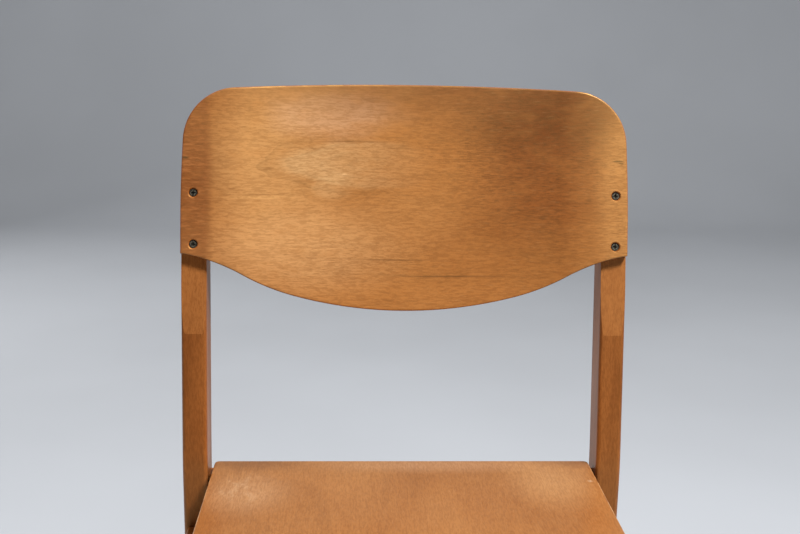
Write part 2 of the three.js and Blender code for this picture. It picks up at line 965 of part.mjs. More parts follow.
add("back_panel", backPanel(), "back");
add("seat_panel", seatPanel(), "seat");
for (const end of ["front", "rear"]) {
  add(end + "_rail", crossRail(end), "frame");
}
for (const { word, sign } of sides) {
  const x = sign * legCentre;
  const feet = {
    rear: rearFootFace() + footDepth / 2,
    front: frontLegFace + footDepth / 2,
  };
  add("rear_leg_" + word, rearLeg(sign), "frame");
  add("front_leg_" + word, frontLeg(sign), "frame");
  add("side_rail_" + word, sideRail(sign, word), "frame");
  add("seat_bearer_" + word, seatBearer(sign, word), "frame");
  for (const [end, y] of Object.entries(feet)) {
    add("glide_" + end + "_" + word, glide(x, y), "glide");
    add("glide_pin_" + end + "_" + word, glidePin(x, y), "steel");
  }
}
for (const { name, spot } of backScrewSpots()) {
  const head = backPlace(spot, backThickness - backScrewSink);
  add("back_screw_" + name, screw(head, landingOut.clone().negate(), backScrewLength), "steel");
}
for (const { name, mouth } of seatScrewSpots()) {
  const head = mouth.clone().addScaledVector(seatUp, seatScrewBite - seatScrewLength);
  add("seat_screw_" + name, screw(head, seatUp, seatScrewLength), "steel");
}
for (const { name, centre, axis, length } of allJoints) {
  add(name, dowel(centre, axis, length), "dowel");
}

// The origin is the middle of the chair's outline on the floor.
const bounds = new THREE.Box3().setFromObject(chair);
chair.position.y = -bounds.getCenter(new THREE.Vector3()).y;

export default chair;
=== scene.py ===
"""Dresses the choir chair: moulded plywood on a lacquered beech frame, in a plain studio."""

import logging
import math
from collections.abc import Callable
from dataclasses import dataclass, field
from enum import Enum

import bmesh
import bpy
from bmesh.types import BMEdge, BMFace, BMesh, BMVert
from mathutils import Matrix, Vector
from mathutils.geometry import intersect_sphere_sphere_2d

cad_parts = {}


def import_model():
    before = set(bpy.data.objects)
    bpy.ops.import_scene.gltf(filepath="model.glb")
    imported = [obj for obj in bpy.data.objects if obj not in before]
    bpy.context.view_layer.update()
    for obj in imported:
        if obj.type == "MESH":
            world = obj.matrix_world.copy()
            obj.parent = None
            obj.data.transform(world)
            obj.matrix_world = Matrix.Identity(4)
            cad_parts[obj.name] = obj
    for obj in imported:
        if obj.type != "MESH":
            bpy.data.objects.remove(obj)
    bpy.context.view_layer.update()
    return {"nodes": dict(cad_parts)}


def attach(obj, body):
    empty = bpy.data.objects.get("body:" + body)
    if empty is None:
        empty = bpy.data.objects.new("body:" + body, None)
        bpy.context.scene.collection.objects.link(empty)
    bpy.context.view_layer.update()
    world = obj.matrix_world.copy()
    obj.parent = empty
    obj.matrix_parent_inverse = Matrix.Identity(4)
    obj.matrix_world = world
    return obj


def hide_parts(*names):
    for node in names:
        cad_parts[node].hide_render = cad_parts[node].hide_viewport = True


log = logging.getLogger("choir_chair")

Pair = tuple[float, float]
Triple = tuple[float, float, float]
Colour = tuple[float, float, float, float]
Row = tuple[float, float, int]  # the first place, the spacing and the number, in mm
Spot = Vector | Pair
Place = Callable[[Vector], Vector]
Material = bpy.types.Material
Socket = bpy.types.NodeSocket
Value = Socket | float | tuple

MM = 0.001
JOIN = 0.01 * MM  # points closer than this are one
SHARP = math.radians(32)  # an edge that turns more stays sharp
BROAD = 40 * MM * MM  # a face this large is a flat, not a rounding
LYING, STANDING = 0.9, 0.1  # a face lies if its normal's height is more, stands if less
OVERHANG = 8  # how fast a rounding turns from rubbed to painted shade as it comes to face down
CREASE = math.radians(40)  # an edge of a landing that turns more is eased
MARGIN = 1.2 * MM  # how far the undivided ring round a sheet goes on past its arris
SPARE = 10 * MM  # how far a leg's blank goes on below its foot
LEG_LINE = 139.675 * MM  # where the rear legs' front face is at the seat, along Y
ACROSS = Vector((1.0, 0.0, 0.0))
BACKWARD = Vector((0.0, 1.0, 0.0))
UP = Vector((0.0, 0.0, 1.0))


class Side(Enum):
    """The two sides of the chair, as seen from the front."""

    LEFT = -1
    RIGHT = 1

    @property
    def word(self) -> str:
        """The side's word in the names of the pieces."""
        return self.name.lower()


class End(Enum):
    """The two ends of the seat frame."""

    REAR = "rear"
    FRONT = "front"


class Grain(Enum):
    """The direction of the fibres: the axes that run along, across and through them."""

    CROSSWISE = (0, 1, 2)
    LENGTHWISE = (1, 0, 2)
    UPRIGHT = (2, 0, 1)

    def read(self, place: Vector) -> Vector:
        """Gives a place as its distances along, across and through the fibres."""
        return Vector([place[axis] for axis in self.value])


class Pattern(Enum):
    """What a finish's pattern follows on a piece."""

    FIBRES = "fibres"
    PLACE = "place"


def screen(*values: int) -> Colour:
    """Turns a screen colour of 0 to 255 into linear light.

    Args:
        *values: its red, green and blue.

    Returns:
        The colour in linear values, opaque.
    """
    shares = [value / 255 for value in values]
    light = [
        share / 12.92 if share <= 0.04045 else ((share + 0.055) / 1.055) ** 2.4
        for share in shares
    ]
    return (*light, 1.0)


# Finishes


@dataclass(frozen=True)
class Cloud:
    """Cloudy noise: its repeats per metre by axis, its finer layers and how strong they are.

    Low and high are the limits between which it comes to show, and warp bends it by itself.
    """

    scale: Triple
    detail: float = 2.0
    rough: float = 0.5
    low: float = 0.0
    high: float = 1.0
    shift: Triple = (0.0, 0.0, 0.0)
    warp: float = 0.0


SWAY = Cloud((5.0, 9.0, 9.0), rough=0.4)
WAVE = Cloud((9.0, 16.0, 16.0), detail=1.0)
DULL = Cloud((11.0, 14.0, 14.0), detail=3.0, rough=0.55)
FAINT = Cloud((4.0, 9.0, 9.0), detail=1.0, low=0.3, high=0.65, shift=(3.0, 7.0, 1.0))
BULGE = Cloud((9.0, 30.0, 30.0), shift=(2.0, 5.0, 0.0))
GATHER = Cloud((9.0, 24.0, 24.0), detail=1.0, low=0.25, high=0.7, shift=(1.0, 9.0, 4.0))
MOTTLE = Cloud((34.0, 75.0, 75.0), detail=3.0, rough=0.6, low=0.45, high=0.75)
RUB = Cloud((60.0, 60.0, 60.0), detail=3.0, rough=0.6, low=0.35, high=0.6)
STREAKS = Cloud((16.0, 420.0, 420.0), rough=0.6, low=0.4, high=0.66)
RAGGED = Cloud((40.0, 200.0, 200.0), detail=3.0, rough=0.6)
FRAYED = Cloud((120.0, 900.0, 900.0))
GRAIN = Cloud((130.0, 620.0, 620.0), rough=0.65, low=0.42, high=0.6)
SPECKS = Cloud((190.0, 900.0, 900.0), detail=1.0, low=0.5, high=0.72)
PORES = Cloud((1300.0, 1300.0, 300.0), rough=0.6, low=0.35, high=0.6)
FIBRE_SKIN = Cloud((420.0, 2600.0, 2600.0), rough=0.6)
SPOTS = Cloud((900.0, 900.0, 900.0), detail=4.0, rough=0.6, low=0.42, high=0.62)
SCUFF = Cloud((2500.0, 2500.0, 700.0), detail=3.0, rough=0.6)
FILM = Cloud((260.0, 260.0, 260.0), detail=4.0, rough=0.6, low=0.4, high=0.75)
MOULD_SKIN = Cloud((3000.0, 3000.0, 3000.0))
PAPER = Cloud((1.1, 1.1, 1.1), detail=3.0, low=0.3, high=0.7)


class NodeSheet:
    """The nodes of one material, with short calls for those that the finishes use."""

    def __init__(self, name: str, pattern: Pattern = Pattern.PLACE) -> None:
        """Starts a material that has only its shader and its coordinates.

        Args:
            name: the material's name.
            pattern: what its patterns follow.
        """
        self.material = bpy.data.materials.new(name)
        self.material.use_nodes = True
        self.tree = self.material.node_tree
        self.tree.nodes.clear()
        self.shader = self.tree.nodes.new("ShaderNodeBsdfPrincipled")
        output = self.tree.nodes.new("ShaderNodeOutputMaterial")
        self.tree.links.new(self.shader.outputs["BSDF"], output.inputs["Surface"])
        if pattern is Pattern.FIBRES:
            self.ground = self.run("Attribute", {}, "Vector", attribute_name="fibres")
        else:
            self.ground = self.run("TexCoord", {}, "Object")

    def feed(self, socket: Socket, value: Value) -> None:
        """Links a socket to another, or sets its value.

        Args:
            socket: the socket to feed.
            value: what it gets.
        """
        if isinstance(value, Socket):
            self.tree.links.new(value, socket)
        else:
            socket.default_value = value

    def run(self, kind: str, inputs: dict, output: int | str = 0, **settings: str) -> Socket:
        """Adds a node and feeds it.

        Args:
            kind: the node's type.
            inputs: what its inputs get, by number or name.
            output: the output to give.
            **settings: its properties by name.

        Returns:
            The output's socket.
        """
        node = self.tree.nodes.new(f"ShaderNode{kind}")
        for name, value in settings.items():
            setattr(node, name, value)
        for name, value in inputs.items():
            self.feed(node.inputs[name], value)
        return node.outputs[output]

    def math(self, operation: str, first: Value, second: Value = 0.0) -> Socket:
        """Calculates with two numbers."""
        return self.run("Math", {0: first, 1: second}, operation=operation)

    def plus(self, first: Value, second: Value) -> Socket:
        """Adds two numbers."""
        return self.math("ADD", first, second)

    def less(self, first: Value, second: Value) -> Socket:
        """Takes the second number from the first."""
        return self.math("SUBTRACT", first, second)

    def times(self, first: Value, second: Value) -> Socket:
        """Multiplies two numbers."""
        return self.math("MULTIPLY", first, second)

    @staticmethod
    def held(result: Socket) -> Socket:
        """Keeps a calculation's result from 0 to 1."""
        result.node.use_clamp = True
        return result

    def value_of(self, attribute: str) -> Socket:
        """Reads a number that the mesh carries at its points."""
        return self.run("Attribute", {}, "Fac", attribute_name=attribute)

    def part(self, vector: Value, axis: int) -> Socket:
        """Takes one number out of a vector."""
        return self.run("SeparateXYZ", {0: vector}, axis)

    def moved(self, vector: Value, axis: int, way: Value) -> Socket:
        """Moves coordinates along one axis."""
        joined = self.run("CombineXYZ", {axis: way})
        return self.run("VectorMath", {0: vector, 1: joined}, operation="ADD")

    def mapped(self, vector: Value, scale: Triple, shift: Triple = (0.0, 0.0, 0.0)) -> Socket:
        """Scales coordinates, then shifts them."""
        return self.run("Mapping", {"Vector": vector, "Scale": scale, "Location": shift})

    def noise(self, cloud: Cloud, vector: Socket | None = None) -> Socket:
        """Makes cloudy noise, stretched by its scale.

        Args:
            cloud: the noise's sizes.
            vector: its coordinates, if not the material's own.

        Returns:
            The noise's socket, mostly from 0.25 to 0.75.
        """
        inputs = {
            "Vector": self.mapped(vector or self.ground, cloud.scale, cloud.shift),
            "Scale": 1.0,
            "Detail": cloud.detail,
            "Roughness": cloud.rough,
            "Distortion": cloud.warp,
        }
        return self.run("TexNoise", inputs, "Fac")

    def swing(self, noise: Socket, reach: float) -> Socket:
        """Lets noise swing round zero, with a reach from its lowest to its highest."""
        return self.times(self.less(noise, 0.5), reach)

    def step(self, value: Value, low: float, high: float, top: float = 1.0) -> Socket:
        """Rises smoothly from 0 to a top value between two limits.

        Args:
            value: the number.
            low: where the rise starts.
            high: where it ends; below low the step falls.
            top: the value it reaches.

        Returns:
            The result's socket.
        """
        limits = (low, high, 0.0, top) if low < high else (high, low, top, 0.0)
        inputs = dict(zip(("From Min", "From Max", "To Min", "To Max"), limits), Value=value)
        return self.run("MapRange", inputs, "Result", interpolation_type="SMOOTHSTEP")

    def shown(self, cloud: Cloud, top: float = 1.0) -> Socket:
        """Shows noise between its limits, up to a top value."""
        return self.step(self.noise(cloud), cloud.low, cloud.high, top)

    def blend(self, share: Value, first: Value, second: Value, way: str = "MIX") -> Socket:
        """Blends a share of a second colour into a first."""
        inputs = {0: share, 6: first, 7: second}
        return self.run("Mix", inputs, 2, data_type="RGBA", blend_type=way)

    def bump(self, height: Socket, strength: float, distance: float) -> None:
        """Raises the shader's surface: the share that shows, and a full bump's height."""
        inputs = {"Height": height, "Strength": strength, "Distance": distance}
        self.set(Normal=self.run("Bump", inputs))

    def set(self, **values: Value) -> None:
        """Sets the shader's own sockets, with spaces written as underscores."""
        for name, value in values.items():
            self.feed(self.shader.inputs[name.replace("_", " ")], value)


class WoodSheet(NodeSheet):
    """The nodes of a wood, whose fibres wander, and its colour as the layers go on."""

    STAGGER = 6.0  # how far dashes are moved along their fibres, in places for a dash
    UNEVEN = 1.3  # how often that changes, for each place across

    def __init__(self, name: str, pattern: Pattern, waves: float, colour: Colour) -> None:
        """Starts a wood.

        Args:
            name: the material's name.
            pattern: what its fibres follow.
            waves: how far they wander across their direction, in metres.
            colour: the colour under all layers.
        """
        super().__init__(name, pattern)
        self.ground = self.moved(self.ground, 1, self.swing(self.noise(SWAY), 2 * waves))
        self.colour: Value = colour

    def lay(self, share: Value, colour: Value, way: str = "MIX") -> None:
        """Lays a share of a colour over the colour so far."""
        self.colour = self.blend(share, self.colour, colour, way)

    def dashes(
        self, along: float, across: float, top: float, shift: Triple = (0.0, 0.0, 0.0)
    ) -> Socket:
        """Scatters short dashes along the fibres, some clear and some faint.

        Args:
            along: the number of places for a dash per metre along the fibres.
            across: their number across and through the fibres.
            top: the value of the clearest ones.
            shift: the pattern's shift.

        Returns:
            The dashes' socket.
        """
        ground = self.mapped(self.ground, (1.0, 1.0, 1.0), shift)
        often = self.UNEVEN * across
        uneven = self.noise(Cloud((0.0, often, often), detail=1.0), ground)
        grid = self.mapped(ground, (along, across, across))
        inputs = {"Vector": self.moved(grid, 0, self.times(uneven, self.STAGGER)), "Scale": 1.0}
        cells = self.run("TexVoronoi", inputs).node
        near = self.step(cells.outputs["Distance"], low=0.44, high=0.16)
        luck = self.step(self.part(cells.outputs["Color"], 0), low=0.45, high=1.0, top=top)
        return self.times(near, luck)

    def contours(self, height: Socket, count: float, power: float, end: float) -> Socket:
        """Draws contour lines, each of which darkens slowly and ends sharply.

        Args:
            height: the height that they follow.
            count: the lines to a height of 1.
            power: how late in its span a line darkens.
            end: where in its span it ends.

        Returns:
            The lines' socket.
        """
        span = self.math("FRACT", self.times(height, count))
        ended = self.step(span, low=1.0, high=end)
        return self.times(self.math("POWER", span, power), ended)


@dataclass(frozen=True)
class Patch:
    """A place where the colour differs: the wood's figure, marks, and painted light and shade.

    Its place is its middle along and across the fibres and its reach both ways, in millimetres,
    and its colour a screen colour. It fades out over the outer share of its reach that fade
    gives. A rim draws growth lines round it, a lean of 1 lets it die away towards its far end, a
    broken one shows only in the flecks of a noise.
    """

    place: tuple[float, float, float, float]
    colour: tuple[int, int, int]
    strength: float = 0.5
    fade: float = 0.8
    rim: float = 0.0
    lean: float = 0.0
    broken: float = 0.0
    flecks: Pair = (30.0, 60.0)


@dataclass(frozen=True)
class WoodFinish:
    """Lacquered or raw beech: tone, rings, short flecks, worn edges, sheen and painted light."""

    name: str
    pale: Colour
    deep: Colour
    fleck: Colour
    bare: Colour
    rubbed: Colour | None = None
    stroke: Colour = (0.5, 0.36, 0.28, 1.0)
    pattern: Pattern = Pattern.FIBRES
    waves: float = 6 * MM
    drift: Triple = (2.6, 8.0, 8.0)
    rings: float = 9.0
    ring_scale: Triple = (1.5, 7.5, 7.5)
    ring_fray: float = 0.012
    ring_strength: float = 0.22
    fleck_strength: float = 0.42
    streak_strength: float = 0.16
    grain_strength: float = 0.5
    glint_strength: float = 0.16
    glint_shift: Triple = (0.31, 0.17, 0.0)
    mottle_strength: float = 0.22
    fresh_strength: float = 0.8
    wear_strength: float = 0.5
    roughness: float = 0.35
    unevenness: float = 0.22
    ior: float = 2.784
    sheen: float = 0.5
    rear_sheen: float = 0.1
    rubbed_sheen_loss: float = 0.6
    sheen_tint: Colour = (1.0, 0.62, 0.22, 1.0)
    coat: float = 0.06
    fleck_depth: float = 0.8
    wave_height: float = 3.0
    ply: float = 0.0
    plies: int = 0
    ply_strength: float = 0.75
    glue_strength: float = 0.6
    torn_middle: float = 0.5
    torn_gain: float = 0.12
    torn_span: float = 0.14
    patches: tuple[Patch, ...] = ()

    def make(self) -> Material:
        """Builds the material.

        Returns:
            The material.
        """
        sheet = WoodSheet(self.name, self.pattern, self.waves, self.deep)
        drift = Cloud(self.drift, rough=0.45, low=0.36, high=0.64, warp=0.4)
        sheet.lay(sheet.shown(drift), self.pale)
        sheet.lay(sheet.times(sheet.value_of("planed"), self.fresh_strength), self.bare)
        self.add_rings(sheet)
        good = self.find_good_side(sheet)
        for patch in self.patches:
            self.add_patch(sheet, patch, good)
        flecks = self.find_flecks(sheet)
        streaks = sheet.shown(STREAKS, self.streak_strength)
        grain = sheet.shown(GRAIN, self.grain_strength)
        for share in (flecks, streaks, grain):
            sheet.lay(share, self.stroke, "MULTIPLY")
        sheet.lay(sheet.dashes(110.0, 760.0, self.glint_strength, self.glint_shift), self.bare)
        sheet.lay(sheet.shown(MOTTLE, self.mottle_strength), self.pale)
        gloss: Value = self.sheen
        if self.ply:
            self.add_plies(sheet)
            more = sheet.times(good, self.sheen - self.rear_sheen)
            gloss = sheet.plus(more, self.rear_sheen)
        if self.wear_strength:
            gloss = self.add_wear(sheet, gloss)
        rough = sheet.plus(sheet.swing(sheet.noise(DULL), self.unevenness), self.roughness)
        height = sheet.less(sheet.noise(FIBRE_SKIN), sheet.times(flecks, self.fleck_depth))
        height = sheet.plus(height, sheet.times(sheet.noise(WAVE), self.wave_height))
        sheet.bump(height, strength=0.35, distance=0.12 * MM)
        sheet.set(Base_Color=sheet.colour, Roughness=rough, IOR=self.ior)
        sheet.set(Specular_IOR_Level=gloss, Specular_Tint=self.sheen_tint)
        sheet.set(Coat_Weight=self.coat, Coat_Roughness=0.22, Coat_IOR=1.5)
        return sheet.material

    def add_rings(self, sheet: WoodSheet) -> None:
        """Draws growth rings as the contour lines of broad noise.

        Args:
            sheet: the wood's nodes.
        """
        height = sheet.noise(Cloud(self.ring_scale, detail=1.2, rough=0.35, warp=0.25))
        height = sheet.plus(height, sheet.times(sheet.noise(FRAYED), self.ring_fray))
        rings = sheet.contours(height, self.rings, power=3.0, end=0.95)
        sheet.lay(sheet.times(rings, sheet.shown(FAINT, self.ring_strength)), self.fleck)

    def find_good_side(self, sheet: WoodSheet) -> Value:
        """Finds a moulded sheet's good side: its top ply is 1, the others are less.

        Args:
            sheet: the wood's nodes.

        Returns:
            1 on the good side, and all over solid wood.
        """
        if not self.ply:
            return 1.0
        top = self.ply * self.plies
        return sheet.step(sheet.part(sheet.ground, 2), self.ply * (self.plies - 1.0), top)

    def add_patch(self, sheet: WoodSheet, patch: Patch, good: Value) -> None:
        """Lays a soft or broken patch over the colour.

        Args:
            sheet: the wood's nodes.
            patch: the patch.
            good: 1 on the piece's good side, less elsewhere.
        """
        along, across, reach, spread = (MM * size for size in patch.place)
        scale = (1 / reach, 1 / spread, 0.0)
        spot = sheet.mapped(sheet.ground, scale, (-along * scale[0], -across * scale[1], 0.0))
        away = sheet.run("VectorMath", {0: spot}, "Value", operation="LENGTH")
        if patch.rim:
            bulge = sheet.swing(sheet.noise(BULGE), reach=1.1)
            fray = sheet.swing(sheet.noise(RAGGED), reach=0.16)
            away = sheet.plus(away, sheet.plus(bulge, fray))
        near = sheet.step(away, low=1.0, high=1.0 - patch.fade, top=patch.strength)
        kept = good
        if patch.lean:
            toward = sheet.times(sheet.part(spot, 0), patch.lean)
            kept = sheet.times(sheet.step(toward, low=0.9, high=-0.6), good)
            near = sheet.times(near, kept)
        if patch.rim:
            lines = sheet.contours(away, count=2.6, power=5.0, end=0.93)
            lines = sheet.times(lines, sheet.step(away, low=1.3, high=1.1, top=patch.rim))
            sheet.lay(sheet.times(lines, kept), self.fleck)
        if patch.broken:
            fine, finer = patch.flecks
            low = self.torn_middle + self.torn_gain * (patch.broken - 1)
            high = low + self.torn_span
            torn = Cloud((fine, finer, finer), detail=3.0, rough=0.6, low=low, high=high)
            near = sheet.times(near, sheet.shown(torn))
        sheet.lay(sheet.times(near, good), screen(*patch.colour))

    def find_flecks(self, sheet: WoodSheet) -> Socket:
        """Finds beech's short flecks, a fine layer and a sparse coarser one.

        Args:
            sheet: the wood's nodes.

        Returns:
            How much of the flecks' stroke shows.
        """
        short = sheet.dashes(along=150.0, across=850.0, top=0.75)
        long = sheet.dashes(along=80.0, across=620.0, top=1.0)
        flecks = sheet.held(sheet.plus(sheet.plus(sheet.shown(SPECKS, top=0.4), short), long))
        return sheet.times(sheet.times(flecks, sheet.shown(GATHER)), self.fleck_strength)

    def add_plies(self, sheet: WoodSheet) -> None:
        """Shows the plies at the edges: every second one is cut across its fibres.

        Args:
            sheet: the wood's nodes.
        """
        level = sheet.math("DIVIDE", sheet.part(sheet.ground, 2), self.ply)
        last = self.plies - 1.0
        inner = sheet.step(level, low=last + 0.1, high=last)
        inner = sheet.times(sheet.step(level, low=0.9, high=1.0), inner)
        odd = sheet.math("MODULO", sheet.math("FLOOR", level), 2.0)
        shade = sheet.blend(sheet.shown(PORES), self.fleck, self.deep)
        sheet.lay(sheet.times(sheet.times(odd, inner), self.ply_strength), shade)
        middle = sheet.math("ABSOLUTE", sheet.less(sheet.math("FRACT", level), 0.5))
        glue = sheet.step(middle, low=0.44, high=0.5, top=self.glue_strength)
        sheet.lay(sheet.times(glue, inner), self.fleck)

    def add_wear(self, sheet: WoodSheet, gloss: Value) -> Socket:
        """Rubs the edges bare, and paints shade on those that face down.

        Args:
            sheet: the wood's nodes.
            gloss: the sheen so far.

        Returns:
            The sheen, less where the lacquer is gone.
        """
        wear = sheet.value_of("wear")
        # painted shade: roundings that face down are darkened
        sheet.lay(sheet.held(sheet.times(wear, -1.0)), self.stroke, "MULTIPLY")
        worn = sheet.times(wear, sheet.shown(RUB))
        worn = sheet.held(sheet.times(worn, self.wear_strength))
        sheet.lay(worn, self.rubbed or self.bare)
        return sheet.held(sheet.less(gloss, sheet.times(worn, self.rubbed_sheen_loss)))


@dataclass(frozen=True)
class MetalFinish:
    """Dull steel with fine turning marks, tarnish, and painted shade where marked, if any."""

    name: str
    colour: Colour
    tarnish: Colour
    roughness: float
    metallic: float = 0.9
    dirt: Colour | None = None

    def make(self) -> Material:
        """Builds the material.

        Returns:
            The material.
        """
        sheet = NodeSheet(self.name)
        colour = sheet.blend(sheet.shown(SPOTS), self.colour, self.tarnish)
        scuff = sheet.noise(SCUFF)
        bright: Value = self.metallic
        if self.dirt:
            # painted shade: the marked places, a screw's cross and head edge, are darkened
            marked = sheet.math("ABSOLUTE", sheet.value_of("wear"))
            shaded_share = sheet.step(marked, low=0.0, high=0.6)
            colour = sheet.blend(shaded_share, colour, self.dirt)
            bright = sheet.times(sheet.less(1.0, shaded_share), self.metallic)
        sheet.bump(scuff, strength=0.3, distance=0.03 * MM)
        rough = sheet.plus(sheet.swing(scuff, reach=0.3), self.roughness)
        sheet.set(Base_Color=colour, Roughness=rough, Metallic=bright)
        return sheet.material


@dataclass(frozen=True)
class PlasticFinish:
    """Moulded plastic with a fine matt skin, rubbed shinier where it meets the floor."""

    name: str
    colour: Colour
    dust: Colour
    roughness: float = 0.5
    dust_strength: float = 0.5
    rubbed_height: float = 2 * MM
    rubbed_gain: float = 0.18
    film_middle: float = 0.45

    def make(self) -> Material:
        """Builds the material.

        Returns:
            The material.
        """
        sheet = NodeSheet(self.name)
        colour = sheet.blend(sheet.shown(FILM, self.dust_strength), self.colour, self.dust)
        height = sheet.part(sheet.ground, 2)
        rubbed = sheet.step(height, low=self.rubbed_height, high=0.0, top=self.rubbed_gain)
        rough = sheet.plus(sheet.noise(FILM), self.roughness - self.film_middle)
        rough = sheet.less(rough, rubbed)
        sheet.bump(sheet.noise(MOULD_SKIN), strength=0.4, distance=0.05 * MM)
        sheet.set(Base_Color=colour, Roughness=rough, IOR=1.46)
        return sheet.material


# Shaping


def pick(parts: list, kind: type) -> list:
    """Picks the points or the edges out of a mix of parts."""
    return [part for part in parts if isinstance(part, kind)]


@dataclass(frozen=True)
class Corner:
    """A corner of a closed line: its place, its radius and how finely it turns."""

    first: float
    second: float
    radius: float = 0.0
    steps: int = 6

    @property
    def spot(self) -> Vector:
        """The corner's place in the plane."""
        return Vector((self.first, self.second))


class Line:
    """A flat line, drawn from point to point in a mesh's local X and Y."""

    def __init__(self, mesh: BMesh, start: Spot) -> None:
        """Starts the line in a mesh at its first point."""
        self.mesh = mesh
        self.tip = mesh.verts.new(Vector(start).to_3d())

    def straight(self, end: Spot, steps: int = 1) -> None:
        """Draws on to a point, in equal steps.

        Args:
            end: the point.
            steps: their number.
        """
        start = self.tip.co.copy()
        for step in range(steps):
            made = bmesh.ops.extrude_vert_indiv(self.mesh, verts=[self.tip])
            self.tip = made["verts"][0]
            self.tip.co = start.lerp(Vector(end).to_3d(), (step + 1) / steps)

    def turn(self, centre: Spot, angle: float, steps: int) -> None:
        """Draws on round a centre.

        Args:
            centre: the centre.
            angle: the turn, anticlockwise if positive.
            steps: how finely it turns.
        """
        spun = bmesh.ops.spin(
            self.mesh,
            geom=[self.tip],
            cent=Vector(centre).to_3d(),
            axis=UP,
            angle=angle,
            steps=steps,
            use_duplicate=False,
        )
        self.tip = pick(spun["geom_last"], BMVert)[0]

    @classmethod
    def polygon(cls, mesh: BMesh, corners: list[Corner]) -> None:
        """Draws a closed line with rounded corners.

        Args:
            mesh: the mesh it is drawn in.
            corners: its corners in order.
        """
        line = None
        for place, corner in enumerate(corners):
            here = corner.spot
            back = (corners[place - 1].spot - here).normalized()
            ahead = (corners[(place + 1) % len(corners)].spot - here).normalized()
            half = back.angle(ahead) / 2
            start = here + back * (corner.radius / math.tan(half))
            if line is None:
                line = cls(mesh, start)
                first = start
            else:
                line.straight(start)
            if corner.radius:
                centre = here + (back + ahead).normalized() * corner.radius / math.sin(half)
                sense = -1 if back.cross(ahead) > 0 else 1
                line.turn(centre, sense * (math.pi - 2 * half), corner.steps)
        line.straight(first)


